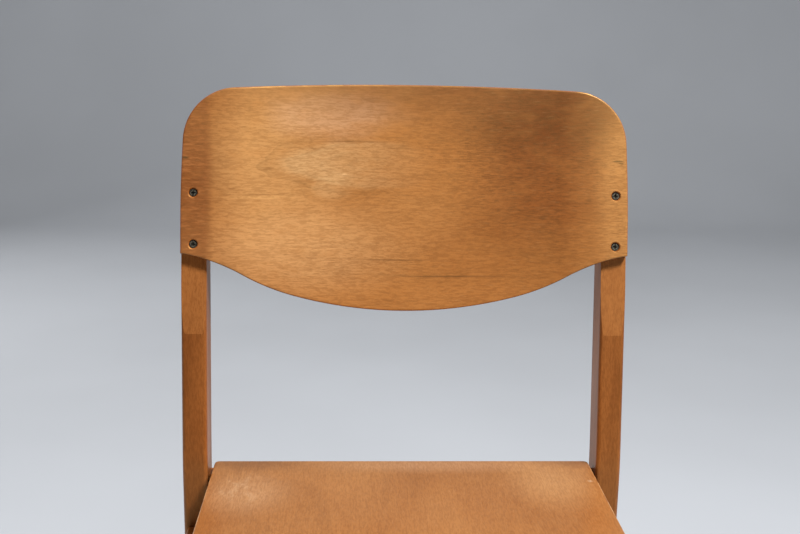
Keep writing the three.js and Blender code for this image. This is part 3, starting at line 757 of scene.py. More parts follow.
class Blank:
    """A piece of material and the cuts that shape it."""

    def __init__(self) -> None:
        """Starts with nothing on the bench."""
        self.mesh = bmesh.new()
        self.mesh.verts.layers.float.new("wear")
        self.mesh.faces.layers.float.new("planed")

    def join(self) -> None:
        """Joins points that lie together."""
        bmesh.ops.remove_doubles(self.mesh, verts=self.mesh.verts[:], dist=JOIN)

    def face_out(self) -> None:
        """Turns the faces' good side outward."""
        bmesh.ops.recalc_face_normals(self.mesh, faces=self.mesh.faces[:])

    def fill(self) -> BMFace:
        """Closes the line that was drawn and fills it.

        Returns:
            The flat face.
        """
        self.join()
        made = bmesh.ops.contextual_create(self.mesh, geom=self.mesh.edges[:])
        return made["faces"][0]

    def thicken(self, depth: float) -> None:
        """Extrudes the flat blank along its local Z.

        Args:
            depth: how far.
        """
        made = bmesh.ops.extrude_face_region(self.mesh, geom=self.mesh.faces[:])
        raised = pick(made["geom"], BMVert)
        bmesh.ops.translate(self.mesh, vec=UP * depth, verts=raised)
        self.face_out()

    def ease(self, edges: list[BMEdge], radius: float, segments: int) -> None:
        """Rounds edges and marks the rounding as worn, or as painted shade where it faces down.

        Args:
            edges: the edges.
            radius: how far the rounding reaches from them.
            segments: how finely it turns.
        """
        made = bmesh.ops.bevel(
            self.mesh,
            geom=edges,
            offset=radius,
            offset_type="OFFSET",
            affect="EDGES",
            segments=segments,
            profile=0.5,
            material=-1,
            clamp_overlap=True,
        )
        rounding = set(made["faces"])
        self.mark([vert for vert in made["verts"] if rounding.issuperset(vert.link_faces)])

    def mark(self, verts: list[BMVert]) -> None:
        """Notes points as worn places, or as places for painted shade.

        Args:
            verts: the points.
        """
        wear = self.mesh.verts.layers.float["wear"]
        for vert in verts:
            vert[wear] = 1.0

    def rims(self) -> list[BMEdge]:
        """Finds the edges between the flat blank's two faces and its wall.

        Returns:
            The edges.
        """
        found = []
        for edge in self.mesh.edges:
            levels = [abs(face.normal.z) for face in edge.link_faces]
            if len(levels) == 2 and max(levels) > LYING and min(levels) < STANDING:
                found.append(edge)
        return found

    def cut(self, parts: list, spot: Vector, normal: Vector, saw: bool = False) -> list[BMEdge]:
        """Divides parts of the mesh along a plane.

        Args:
            parts: the points, edges and faces.
            spot: a point of the plane.
            normal: its direction.
            saw: clears away what lies beyond it.

        Returns:
            The new edges.
        """
        made = bmesh.ops.bisect_plane(
            self.mesh, geom=parts, dist=JOIN / 10, plane_co=spot, plane_no=normal, clear_outer=saw
        )
        return pick(made["geom_cut"], BMEdge)

    def score(self, spot: Vector, normal: Vector, skip: set[BMFace] = frozenset()) -> None:
        """Divides faces along a plane.

        Args:
            spot: a point of the plane.
            normal: its direction.
            skip: the faces to leave whole.
        """
        faces = [face for face in self.mesh.faces if face not in skip]
        verts = dict.fromkeys(vert for face in faces for vert in face.verts)
        edges = dict.fromkeys(edge for face in faces for edge in face.edges)
        self.cut([*verts, *edges, *faces], spot, normal)

    def saw(self, spot: Vector, normal: Vector, planed: float = 0.0) -> list[BMEdge]:
        """Cuts off what lies beyond a plane and closes the cut.

        Args:
            spot: a point of the plane.
            normal: the direction of the waste.
            planed: how much paler the cut is than the wood round it.

        Returns:
            The edges round the cut.
        """
        mesh = self.mesh
        edges = self.cut([*mesh.verts, *mesh.edges, *mesh.faces], spot, normal, True)
        fresh = mesh.faces.layers.float["planed"]
        for face in bmesh.ops.contextual_create(mesh, geom=edges)["faces"]:
            face[fresh] = planed
        self.face_out()
        return [edge for edge in edges if edge.is_valid]

    def put(self, matrix: Matrix) -> None:
        """Moves the blank to its place."""
        bmesh.ops.transform(self.mesh, matrix=matrix, verts=self.mesh.verts[:])

    def drill(self, bits: list["Blank"]) -> None:
        """Takes other blanks' shapes out of this one.

        Args:
            bits: the shapes to take out.
        """
        body = self.as_object("work")
        helpers = [bit.as_object("bit") for bit in bits]
        for helper in helpers:
            hole = body.modifiers.new("Hole", "BOOLEAN")
            hole.operation = "DIFFERENCE"
            hole.solver = "EXACT"
            hole.object = helper
        graph = bpy.context.evaluated_depsgraph_get()
        drilled = bpy.data.meshes.new_from_object(body.evaluated_get(graph))
        self.mesh.clear()
        self.mesh.from_mesh(drilled)
        bpy.data.meshes.remove(drilled)
        for used in [body, *helpers]:
            shape = used.data
            bpy.data.objects.remove(used)
            bpy.data.meshes.remove(shape)

    def as_object(self, name: str) -> bpy.types.Object:
        """Makes a Blender object of the blank.

        Args:
            name: the object's name.

        Returns:
            The object.
        """
        shape = bpy.data.meshes.new(name)
        self.mesh.to_mesh(shape)
        thing = bpy.data.objects.new(name, shape)
        bpy.context.scene.collection.objects.link(thing)
        return thing

    def bend(self, place: Place, grain: Place) -> None:
        """Notes where each point lies in the wood, then moves the points to their place.

        Args:
            place: gives a point's final place.
            grain: gives its distances along, across and through the fibres.
        """
        names = self.mesh.verts.layers.float_vector
        fibres = names.get("fibres") or names.new("fibres")
        for vert in self.mesh.verts:
            vert[fibres] = grain(vert.co)
            vert.co = place(vert.co)

    def finish(self, name: str, finish: Material, slot: str, *nodes: str) -> None:
        """Turns the blank into a finished piece of the chair.

        Args:
            name: the piece's name.
            finish: its material.
            slot: a slot's name; not used.
            *nodes: the solids that it stands for.
        """
        wear = self.mesh.verts.layers.float["wear"]
        for face in self.mesh.faces:
            face.smooth = True
            if face.calc_area() > BROAD:
                for vert in face.verts:
                    vert[wear] = 0.0
        self.mesh.normal_update()
        # roundings that face down get a negative mark, which becomes painted shade
        for vert in self.mesh.verts:
            vert[wear] *= min(1.0, max(-1.0, 1.0 + OVERHANG * vert.normal.z))
        for edge in self.mesh.edges:
            edge.smooth = len(edge.link_faces) == 2 and edge.calc_face_angle() < SHARP
        piece = self.as_object(name)
        piece.data.materials.append(finish)
        shading = piece.modifiers.new("Even shading", "WEIGHTED_NORMAL")
        shading.keep_sharp = True
        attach(piece, "root")
        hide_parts(*nodes)
        log.info("%s: %d faces", name, len(piece.data.polygons))
        self.mesh.free()


def axes(origin: Vector, first: Vector, second: Vector, third: Vector) -> Matrix:
    """Gives the matrix that carries local axes to three directions at an origin.

    Args:
        origin: where the local origin goes.
        first: the direction of local X.
        second: the direction of local Y.
        third: the direction of local Z.

    Returns:
        The matrix.
    """
    matrix = Matrix((first, second, third)).transposed().to_4x4()
    matrix.translation = origin
    return matrix


LAID_ACROSS = axes(Vector(), BACKWARD, UP, ACROSS)
LAID_LENGTHWISE = axes(Vector(), -ACROSS, UP, BACKWARD)


def places_of(*rows: Row) -> list[float]:
    """Lists the places that stand in some rows, in metres."""
    return [MM * (first + space * step) for first, space, count in rows for step in range(count)]


def lathe(profile: list[Pair], segments: int, place: Matrix) -> Blank:
    """Turns a profile round the local Z axis.

    Args:
        profile: points of distance from the axis and height.
        segments: how many facets go round.
        place: where the turned shape goes.

    Returns:
        The turned blank.
    """
    blank = Blank()
    mesh = blank.mesh
    line = Line(mesh, profile[0])
    for spot in profile[1:]:
        line.straight(spot)
    blank.put(Matrix.Rotation(math.pi / 2, 4, "X"))
    bmesh.ops.spin(
        mesh,
        geom=[*mesh.verts, *mesh.edges],
        cent=(0.0, 0.0, 0.0),
        axis=UP,
        angle=2 * math.pi,
        steps=segments,
        use_merge=True,
        use_duplicate=False,
    )
    blank.join()
    blank.face_out()
    blank.put(place)
    return blank


def mould(
    blank: Blank, thickness: float, arris: float, across: list[float], along: list[float]
) -> None:
    """Makes a flat sheet with eased arrises, divided finely enough to be bent.

    Args:
        blank: the blank, with the right half of its outline drawn.
        thickness: the sheet's thickness.
        arris: how far its edges are eased.
        across: where it is divided across.
        along: where it is divided the other way.
    """
    mesh = blank.mesh
    bmesh.ops.mirror(
        mesh,
        geom=[*mesh.verts, *mesh.edges],
        matrix=Matrix.Identity(4),
        merge_dist=JOIN,
        axis="X",
    )
    made = bmesh.ops.inset_region(
        mesh,
        faces=[blank.fill()],
        use_boundary=True,
        use_even_offset=True,
        thickness=arris + MARGIN,
    )
    ring = set(made["faces"])
    for way, places in ((ACROSS, across), (BACKWARD, along)):
        for place in places:
            blank.score(way * place, way, ring)
    blank.thicken(thickness)
    blank.ease(blank.rims(), arris, segments=4)


# The chair


@dataclass
class Screw:
    """A cross-headed countersunk screw, with painted shade in its cross and round its head's edge.
    """

    finish: Material
    radius: float = 2.0 * MM
    head_radius: float = 4.0 * MM
    rim: float = 0.4 * MM
    eased: float = 0.25 * MM
    bright_radius: float = 3.1 * MM
    slot_reach: float = 2.5 * MM
    slot_half: float = 0.68 * MM
    slot_depth: float = 1.9 * MM
    slot_foot: float = 0.34
    tip: float = 3.0 * MM
    tip_share: float = 0.1
    segments: int = 48

    def build(self, name: str, head: Vector, out: Vector, length: float) -> None:
        """Builds the screw with its head's face at a point.

        Args:
            name: the piece's name, which is its node's too.
            head: the middle of the head's face.
            out: the direction that the head faces.
            length: the screw's length.
        """
        blank = Blank()
        mesh = blank.mesh
        reach, half = self.slot_reach, self.slot_half
        arm = [(reach, -half), (reach, half), (half, half)]
        corners = []
        for _ in range(4):
            corners += [Corner(*spot) for spot in arm]
            arm = [(-second, first) for first, second in arm]
        Line.polygon(mesh, corners)
        blank.join()
        cross = mesh.edges[:]
        made = bmesh.ops.create_circle(
            mesh, cap_ends=False, segments=self.segments, radius=self.bright_radius
        )
        circle = list(dict.fromkeys(edge for vert in made["verts"] for edge in vert.link_edges))
        bmesh.ops.triangle_fill(mesh, use_beauty=True, edges=[*cross, *circle])
        foot = self.draw_out(mesh, cross, self.slot_foot, -self.slot_depth)
        bmesh.ops.contextual_create(mesh, geom=foot)
        brow = self.head_radius - self.eased
        ring = self.draw_out(mesh, circle, brow / self.bright_radius, 0.0)
        # painted shade: the foot of the cross and the head's edge are marked to be darkened
        blank.mark([vert for edge in [*foot, *ring] for vert in edge.verts])
        cone = self.head_radius - self.radius
        shank = length - self.rim - cone - self.tip
        for scale, drop in (
            (self.head_radius / brow, self.eased),
            (1.0, self.rim - self.eased),
            (self.radius / self.head_radius, cone),
            (1.0, shank),
            (self.tip_share, self.tip),
        ):
            ring = self.draw_out(mesh, ring, scale, -drop)
        bmesh.ops.contextual_create(mesh, geom=ring)
        blank.face_out()
        blank.put(axes(head, ACROSS, out.cross(ACROSS), out))
        blank.finish(name, self.finish, "steel", name)

    @staticmethod
    def draw_out(mesh: BMesh, edges: list[BMEdge], scale: float, rise: float) -> list[BMEdge]:
        """Extrudes a loop, scales it about the axis and lifts it.

        Args:
            mesh: the screw's mesh.
            edges: the loop.
            scale: the new loop's size as a share of the old one's.
            rise: how far it is lifted.

        Returns:
            The new loop.
        """
        made = bmesh.ops.extrude_edge_only(mesh, edges=edges)
        verts = pick(made["geom"], BMVert)
        bmesh.ops.scale(mesh, vec=(scale, scale, 1.0), verts=verts)
        bmesh.ops.translate(mesh, vec=UP * rise, verts=verts)
        return pick(made["geom"], BMEdge)


@dataclass
class BackPanel:
    """The moulded backrest, flat on both landings and hollow between them."""

    finish: Material
    half_width: float = 230 * MM
    thickness: float = 9 * MM
    arris: float = 1.5 * MM
    crown_rise: float = 177 * MM
    crown_radius: float = 2100 * MM
    side_start: float = 32 * MM
    side_radius: float = 1560 * MM
    corner_radius: float = 56 * MM
    belly_drop: float = 59 * MM
    belly_radius: float = 435 * MM
    belly_angle: float = math.radians(15.3)
    shoulder_radius: float = 230 * MM
    shoulder_angle: float = math.radians(29.5)
    flat_half: float = 200 * MM
    bend_radius: float = 175 * MM
    hollow_radius: float = 715 * MM
    landing_height: float = 580 * MM
    landing_reveal: float = 83 * MM
    post_rake: float = math.radians(8)
    tilt: float = math.radians(12.6)
    seat_height: float = 440 * MM
    glue_gap: float = 0.3 * MM
    screw_across: float = 217 * MM
    screw_rises: Pair = (9.5 * MM, 62.0 * MM)
    screw_sink: float = 1.5 * MM
    screw_length: float = 30 * MM
    bore_radius: float = 4.6 * MM
    shank_radius: float = 2.3 * MM
    rubbed_mouth: float = 0.9 * MM
    drill_overrun: float = 3 * MM
    head_play: float = 0.1 * MM
    drill_segments: int = 48
    columns: tuple[Row, ...] = ((7.6, 7.6, 20), (155.0, 3.0, 16))
    rows: tuple[Row, ...] = ((-50.0, 10.0, 23),)

    def __post_init__(self) -> None:
        """Works out the panel's directions and origin."""
        self.up = Vector((0.0, math.sin(self.tilt), math.cos(self.tilt)))
        self.out = Vector((0.0, -math.cos(self.tilt), math.sin(self.tilt)))
        lean = (self.landing_height - self.seat_height) * math.tan(self.post_rake)
        self.landing_foot = Vector((0.0, LEG_LINE + lean, self.landing_height))
        self.origin = self.landing_foot + self.up * self.landing_reveal
        self.origin += self.out * self.glue_gap
        self.bend_share = self.flat_half / (self.hollow_radius + self.bend_radius)
        chord = (self.hollow_radius + self.bend_radius) ** 2 - self.flat_half**2
        self.hollow_centre = math.sqrt(chord) - self.bend_radius

    def side_reach(self, rise: float) -> float:
        """Gives the half width of the panel's side at a height up its slope.

        Args:
            rise: the height.

        Returns:
            The half width.
        """
        if rise <= self.side_start:
            return self.half_width
        drop = math.sqrt(self.side_radius**2 - (rise - self.side_start) ** 2)
        return self.half_width - self.side_radius + drop

    def hollow(self, across: float, depth: float) -> float:
        """Gives how far the surface stands out from the end zones' front.

        Args:
            across: the distance from the middle.
            depth: the depth behind the front.

        Returns:
            The distance along the landing's direction.
        """
        across = abs(across)
        if across >= self.flat_half:
            return -depth
        if across >= (self.hollow_radius + depth) * self.bend_share:
            radius = self.bend_radius - depth
            return math.sqrt(radius**2 - (across - self.flat_half) ** 2) - self.bend_radius
        radius = self.hollow_radius + depth
        return self.hollow_centre - math.sqrt(radius**2 - across**2)

    def at(self, spot: Vector) -> Vector:
        """Gives the place of a point: across, up the slope, and its level in the sheet."""
        rise = self.thickness + self.hollow(spot.x, self.thickness - spot.z)
        return self.origin + ACROSS * spot.x + self.up * spot.y + self.out * rise

    def draw(self, mesh: BMesh) -> None:
        """Draws the right half of the outline as arcs.

        Args:
            mesh: the blank's mesh.
        """
        line = Line(mesh, (0.0, -self.belly_drop))
        belly = Vector((0.0, self.belly_radius - self.belly_drop))
        line.turn(belly, self.belly_angle, steps=30)
        inset = self.belly_radius - self.shoulder_radius
        shoulder = belly + self.spoke(self.belly_angle) * inset
        line.turn(shoulder, self.shoulder_angle - self.belly_angle, steps=16)
        heading = self.spoke(self.shoulder_angle)
        end = shoulder + heading * self.shoulder_radius
        chord = Vector((self.half_width, 0.0)) - end
        turn = 2 * (self.shoulder_angle - math.atan2(chord.y, chord.x))
        radius = chord.length / (2 * math.sin(turn / 2))
        line.turn(end + heading * radius, -turn, steps=16)
        line.straight((self.half_width, self.side_start), steps=4)
        side = Vector((self.half_width - self.side_radius, self.side_start))
        crown = Vector((0.0, self.crown_rise - self.crown_radius))
        side_inner = self.side_radius - self.corner_radius
        crown_inner = self.crown_radius - self.corner_radius
        meetings = intersect_sphere_sphere_2d(side, side_inner, crown, crown_inner)
        corner = max(meetings, key=lambda spot: spot.y)
        side_end = math.atan2(corner.y - side.y, corner.x - side.x)
        crown_start = math.atan2(corner.y - crown.y, corner.x - crown.x)
        line.turn(side, side_end, steps=16)
        line.turn(corner, crown_start - side_end, steps=28)
        line.turn(crown, math.pi / 2 - crown_start, steps=44)

    @staticmethod
    def spoke(angle: float) -> Vector:
        """Gives the direction at an angle from straight down, anticlockwise."""
        return Vector((math.sin(angle), -math.cos(angle)))

    def build(self) -> None:
        """Builds the panel with its four screw holes."""
        blank = Blank()
        self.draw(blank.mesh)
        columns = [0.0]
        for place in places_of(*self.columns):
            columns += [-place, place]
        mould(blank, self.thickness, self.arris, columns, places_of(*self.rows))
        blank.drill([self.bit(spot) for spot in self.screw_spots().values()])
        blank.bend(self.at, lambda spot: spot.copy())
        blank.finish("backrest", self.finish, "back_plywood", "back_panel")

    def bit(self, spot: Vector) -> Blank:
        """Shapes the drill for a sunk screw, with a slightly rubbed mouth.

        Args:
            spot: where the screw stands, across and up the slope.

        Returns:
            The drill.
        """
        top, spare = self.thickness, self.drill_overrun
        bore, shank = self.bore_radius, self.shank_radius
        floor = top - self.screw_sink - self.head_play
        profile = [
            (0.0, top + spare),
            (bore + spare + self.rubbed_mouth, top + spare),
            (bore, top - self.rubbed_mouth),
            (bore, floor),
            (shank, floor - (bore - shank)),
            (shank, -spare),
            (0.0, -spare),
        ]
        place = Matrix.Translation((spot.x, spot.y, 0.0))
        return lathe(profile, self.drill_segments, place)

    def screw_spots(self) -> dict[str, Vector]:
        """Lists where the screws' heads stand.

        Returns:
            Each place by the screw's name: across, up the slope, and the level in the sheet.
        """
        level = self.thickness - self.screw_sink
        return {
            f"back_screw_{side.word}_{word}": Vector((side.value * self.screw_across, rise, level))
            for side in Side
            for word, rise in zip(("lower", "upper"), self.screw_rises)
        }

    def fix(self, screw: Screw) -> None:
        """Drives the four screws."""
        for name, spot in self.screw_spots().items():
            screw.build(name, self.at(spot), self.out, self.screw_length)


@dataclass
class SeatPanel:
    """The seat: a flat sheet that rolls over at the front."""

    finish: Material
    half_width: float = 198 * MM
    thickness: float = 10 * MM
    arris: float = 1.6 * MM
    flat_length: float = 345 * MM
    length: float = 400 * MM
    roll_radius: float = 110 * MM
    rear_corner: float = 5 * MM
    front_corner: float = 32 * MM
    rear_setback: float = 20 * MM
    height: float = 440 * MM
    slope: float = math.radians(2)
    columns: tuple[Row, ...] = ((-176.0, 22.0, 17),)
    rows: tuple[Row, ...] = ((-12.0, -24.0, 14), (-345.0, -3.6, 15))

    def __post_init__(self) -> None:
        """Works out the seat's directions and rear edge."""
        self.forward = Vector((0.0, -math.cos(self.slope), math.sin(self.slope)))
        self.up = Vector((0.0, math.sin(self.slope), math.cos(self.slope)))
        self.rear = Vector((0.0, LEG_LINE + self.rear_setback, self.height))

    def at(self, spot: Vector) -> Vector:
        """Gives the place of a point of the flat sheet.

        Args:
            spot: across, minus the length from the rear, and the level in the sheet.

        Returns:
            Its place in the chair's frame.
        """
        length = -spot.y
        below = self.thickness - spot.z
        place = self.rear + ACROSS * spot.x
        if length <= self.flat_length:
            return place + self.forward * length - self.up * below
        turn = (length - self.flat_length) / self.roll_radius
        reach = self.roll_radius - below
        place += self.forward * (self.flat_length + reach * math.sin(turn))
        return place + self.up * (reach * math.cos(turn) - self.roll_radius)

    def underside(self, along: float) -> float:
        """Gives the height of the flat underside at a place along Y."""
        top = self.height + (self.rear.y - along) * math.tan(self.slope)
        return top - self.thickness / math.cos(self.slope)

    def build(self) -> None:
        """Builds the seat."""
        blank = Blank()
        half, rear, front = self.half_width, self.rear_corner, self.front_corner
        line = Line(blank.mesh, (0.0, 0.0))
        line.straight((half - rear, 0.0), steps=12)
        line.turn((half - rear, -rear), -math.pi / 2, steps=6)
        line.straight((half, -self.flat_length), steps=16)
        line.straight((half, front - self.length), steps=10)
        line.turn((half - front, front - self.length), -math.pi / 2, steps=20)
        line.straight((0.0, -self.length), steps=10)
        columns, rows = places_of(*self.columns), places_of(*self.rows)
        mould(blank, self.thickness, self.arris, columns, rows)
        blank.bend(self.at, lambda spot: Vector((spot.y, spot.x, spot.z)))
        blank.finish("seat", self.finish, "seat_plywood", "seat_panel")


@dataclass
class LegFrame:
    """The beech frame: two rear legs with the uprights, two front legs, rails and bearers."""

    finish: Material
    back: BackPanel
    seat: SeatPanel
    inner_half: float = 204 * MM
    width: float = 26 * MM
    edge: float = 4.5 * MM
    top_ease: float = 2.5 * MM
    landing_ease: float = 0.4 * MM
    foot_ease: float = 0.9 * MM
    foot_depth: float = 30 * MM
    foot_height: float = 5.3 * MM
    rear_depth: float = 42 * MM
    splay: float = math.radians(9)
    ankle: float = 300 * MM
    bend: float = 300 * MM
    upright_rise: float = 120 * MM
    front_face: float = -324 * MM
    front_back: float = -284 * MM
    taper: float = 322 * MM
    front_top: float = 447.31 * MM
    rail_edge: float = 2.5 * MM
    rail_end: float = 0.3 * MM
    cross_thickness: float = 22 * MM
    cross_height: float = 48 * MM
    cross_near: dict[End, float] = field(
        default_factory=lambda: {End.REAR: 6 * MM, End.FRONT: -315 * MM}
    )
    gap: float = 0.3 * MM
    side_thickness: float = 18 * MM
    side_foot: float = 334 * MM
    side_height: float = 40 * MM
    bearer_width: float = 22 * MM
    bearer_height: float = 28 * MM
    bearer_centre: float = 140 * MM
    screw_places: dict[End, float] = field(
        default_factory=lambda: {End.REAR: 64.3 * MM, End.FRONT: 262.7 * MM}
    )
    screw_sink: float = 1.5 * MM
    screw_length: float = 25 * MM
    bore_radius: float = 4.3 * MM
    cone_start: float = 0.4 * MM
    shank_radius: float = 2.3 * MM
    drill_ends: Pair = (-6 * MM, 40 * MM)
    drill_segments: int = 40
    landing_rows: tuple[Row, ...] = ((0.0, 9.5, 10),)
    log_steps: tuple[Pair, ...] = ((17, 0.31), (29, 0.17), (23, 0.13))

    def build(self) -> None:
        """Builds every piece of the frame."""
        for side in Side:
            self.rear_leg(side)
            self.front_leg(side)
            self.side_rail(side)
            self.bearer(side)
        for end in End:
            self.cross_rail(end)

    def stand(self, side: Side, corners: list[Corner]) -> Blank:
        """Makes a leg of its side view, with rounded edges, and stands it in its place.

        Args:
            side: the side of the chair.
            corners: the side view's corners, as Y and Z.

        Returns:
            The leg.
        """
        blank = Blank()
        Line.polygon(blank.mesh, corners)
        blank.fill()
        blank.thicken(self.width)
        blank.ease(blank.rims(), self.edge, segments=7)
        inner = self.inner_half if side is Side.RIGHT else -self.inner_half - self.width
        blank.put(axes(ACROSS * inner, BACKWARD, UP, ACROSS))
        foot = blank.saw(UP * self.foot_height, -UP)
        blank.ease(foot, self.foot_ease, segments=2)
        return blank

    def complete(self, blank: Blank, name: str, grain: Grain) -> None:
        """Finishes a piece, with its own place in the log so that no two look alike.

        Args:
            blank: the shaped blank, in its place.
            name: the node's name.
            grain: the direction of its fibres.
        """
        number = sum(ord(letter) * (place + 3) for place, letter in enumerate(name))
        seam = Vector([number % turns * step for turns, step in self.log_steps])
        blank.bend(lambda spot: spot.copy(), lambda spot: grain.read(spot) + seam)
        blank.finish(f"beech_{name}", self.finish, "frame_beech", name)

    def rear_leg(self, side: Side) -> None:
        """Builds a rear leg with its upright, its landing and its flush outer side.

        Args:
            side: the side of the chair.
        """
        back = self.back
        knee = back.seat_height
        face, rear = LEG_LINE, LEG_LINE + self.rear_depth
        low = self.ankle - self.foot_height + SPARE
        foot = face + low * math.tan(self.splay)
        depth = self.foot_depth - (self.rear_depth - self.foot_depth) * SPARE / low
        rake = Vector((math.sin(back.post_rake), math.cos(back.post_rake)))
        out = Vector((back.out.y, back.out.z))
        top = back.landing_foot + back.up * (back.landing_reveal + self.upright_rise)
        ends = []
        for start in (rear, face):
            gap = Vector((top.y - start, top.z - knee))
            ends.append(Vector((start, knee)) + rake * (gap.cross(out) / rake.cross(out)))
        corners = [
            Corner(foot, self.foot_height - SPARE),
            Corner(foot + depth, self.foot_height - SPARE),
            Corner(rear, self.ankle, self.bend, steps=10),
            Corner(rear, knee, self.bend, steps=10),
            Corner(ends[0].x, ends[0].y, self.edge + self.top_ease, steps=8),
            Corner(ends[1].x, ends[1].y),
            Corner(face, knee, self.bend, steps=10),
            Corner(face, self.ankle, self.bend, steps=10),
        ]
        blank = self.stand(side, corners)
        rim = blank.saw(back.landing_foot, back.out, planed=1.0)
        rim = [edge for edge in rim if edge.calc_face_angle() > CREASE]
        blank.ease(rim, self.landing_ease, segments=2)
        for place in places_of(*self.landing_rows):
            blank.score(back.origin + back.up * (back.side_start + place), back.up)
        self.trim(blank)
        self.complete(blank, f"rear_leg_{side.word}", Grain.UPRIGHT)

    def trim(self, blank: Blank) -> None:
        """Draws an upright's outer side in, flush with the backrest's side.

        Args:
            blank: the upright, in its place.
        """
        for vert in blank.mesh.verts:
            rise = (vert.co - self.back.origin).dot(self.back.up)
            spare = self.back.half_width - self.back.side_reach(rise)
            share = (abs(vert.co.x) - self.inner_half) / self.width
            vert.co.x -= math.copysign(spare * share, vert.co.x)

    def front_leg(self, side: Side) -> None:
        """Builds a front leg, tapered behind towards its foot.

        Args:
            side: the side of the chair.
        """
        face, back = LEG_LINE + self.front_face, LEG_LINE + self.front_back
        low = self.taper - self.foot_height + SPARE
        depth = self.foot_depth - (back - face - self.foot_depth) * SPARE / low
        end = self.edge + self.top_ease
        corners = [
            Corner(face, self.foot_height - SPARE),
            Corner(face + depth, self.foot_height - SPARE),
            Corner(back, self.taper, self.bend, steps=8),
            Corner(back, self.front_top, end, steps=8),
            Corner(face, self.front_top, end, steps=8),
        ]
        self.complete(self.stand(side, corners), f"front_leg_{side.word}", Grain.UPRIGHT)

    def bar(self, corners: list[Pair], start: float, length: float, place: Matrix) -> Blank:
        """Makes a straight bar with eased long edges and slightly eased ends.

        Args:
            corners: the section's corners in the plane of local X and Y.
            start: where the bar starts along local Z.
            length: its length.
            place: how the bar lies in the chair.

        Returns:
            The bar.
        """
        blank = Blank()
        Line.polygon(blank.mesh, [Corner(*corner, self.rail_edge) for corner in corners])
        blank.fill()
        blank.thicken(length)
        blank.ease(blank.rims(), self.rail_end, segments=1)
        blank.put(place @ Matrix.Translation(UP * start))
        return blank

    def cross_rail(self, end: End) -> None:
        """Builds a rail across the chair; its top follows the seat's slope.

        Args:
            end: the end of the seat frame.
        """
        near = LEG_LINE + self.cross_near[end]
        far = near + self.cross_thickness
        tops = [self.seat.underside(place) - self.gap for place in (far, near)]
        foot = tops[1] - self.cross_height
        half = self.inner_half - self.gap
        section = [(near, foot), (far, foot), (far, tops[0]), (near, tops[1])]
        blank = self.bar(section, -half, 2 * half, LAID_ACROSS)
        self.complete(blank, f"{end.value}_rail", Grain.CROSSWISE)

    def side_rail(self, side: Side) -> None:
        """Builds a rail between a front and a rear leg.

        Args:
            side: the side of the chair.
        """
        centre = -side.value * (self.inner_half + self.width / 2)
        section = self.box(centre, self.side_thickness, self.side_foot, self.side_height)
        start = LEG_LINE + self.front_back + self.gap
        length = -self.front_back - 2 * self.gap
        blank = self.bar(section, start, length, LAID_LENGTHWISE)
        self.complete(blank, f"side_rail_{side.word}", Grain.LENGTHWISE)

    @staticmethod
    def box(centre: float, width: float, foot: float, height: float) -> list[Pair]:
        """Lists the corners of an upright rectangle."""
        left, right, top = centre - width / 2, centre + width / 2, foot + height
        return [(left, foot), (right, foot), (right, top), (left, top)]

    def bearer(self, side: Side) -> None:
        """Builds a bearer under the seat, with the sunk holes of its two screws.

        Args:
            side: the side of the chair.
        """
        centre, height = -side.value * self.bearer_centre, self.bearer_height
        start = LEG_LINE + self.cross_near[End.FRONT] + self.cross_thickness + self.gap
        length = LEG_LINE + self.cross_near[End.REAR] - self.gap - start
        section = self.box(centre, self.bearer_width, -height, height)
        blank = self.bar(section, start, length, LAID_LENGTHWISE)
        slope = math.tan(self.seat.slope)
        for vert in blank.mesh.verts:
            vert.co.z += self.seat.underside(0.0) - self.gap - vert.co.y * slope
        blank.drill([self.bit(self.screw_head(side, end)) for end in End])
        self.complete(blank, f"seat_bearer_{side.word}", Grain.LENGTHWISE)

    def screw_head(self, side: Side, end: End) -> Vector:
        """Gives the middle of a seat screw's head.

        Args:
            side: the side of the chair.
            end: the end of the seat frame.

        Returns:
            Its place.
        """
        spot = Vector((side.value * self.bearer_centre, -self.screw_places[end], 0.0))
        below = self.gap + self.bearer_height - self.screw_sink
        return self.seat.at(spot) - self.seat.up * below

    def bit(self, head: Vector) -> Blank:
        """Shapes the drill for a sunk seat screw.

        Args:
            head: the middle of the screw's head.

        Returns:
            The drill.
        """
        low, high = self.drill_ends
        bore, shank = self.bore_radius, self.shank_radius
        profile = [
            (0.0, low),
            (bore, low),
            (bore, self.cone_start),
            (shank, self.cone_start + bore - shank),
            (shank, high),
            (0.0, high),
        ]
        up = self.seat.up
        return lathe(profile, self.drill_segments, axes(head, ACROSS, up.cross(ACROSS), up))

    def fix(self, screw: Screw) -> None:
        """Drives the four seat screws from below.

        Args:
            screw: the kind of screw.
        """
        for side in Side:
            for end in End:
                name = f"seat_screw_{side.word}_{end.value}"
                screw.build(name, self.screw_head(side, end), -self.seat.up, self.screw_length)


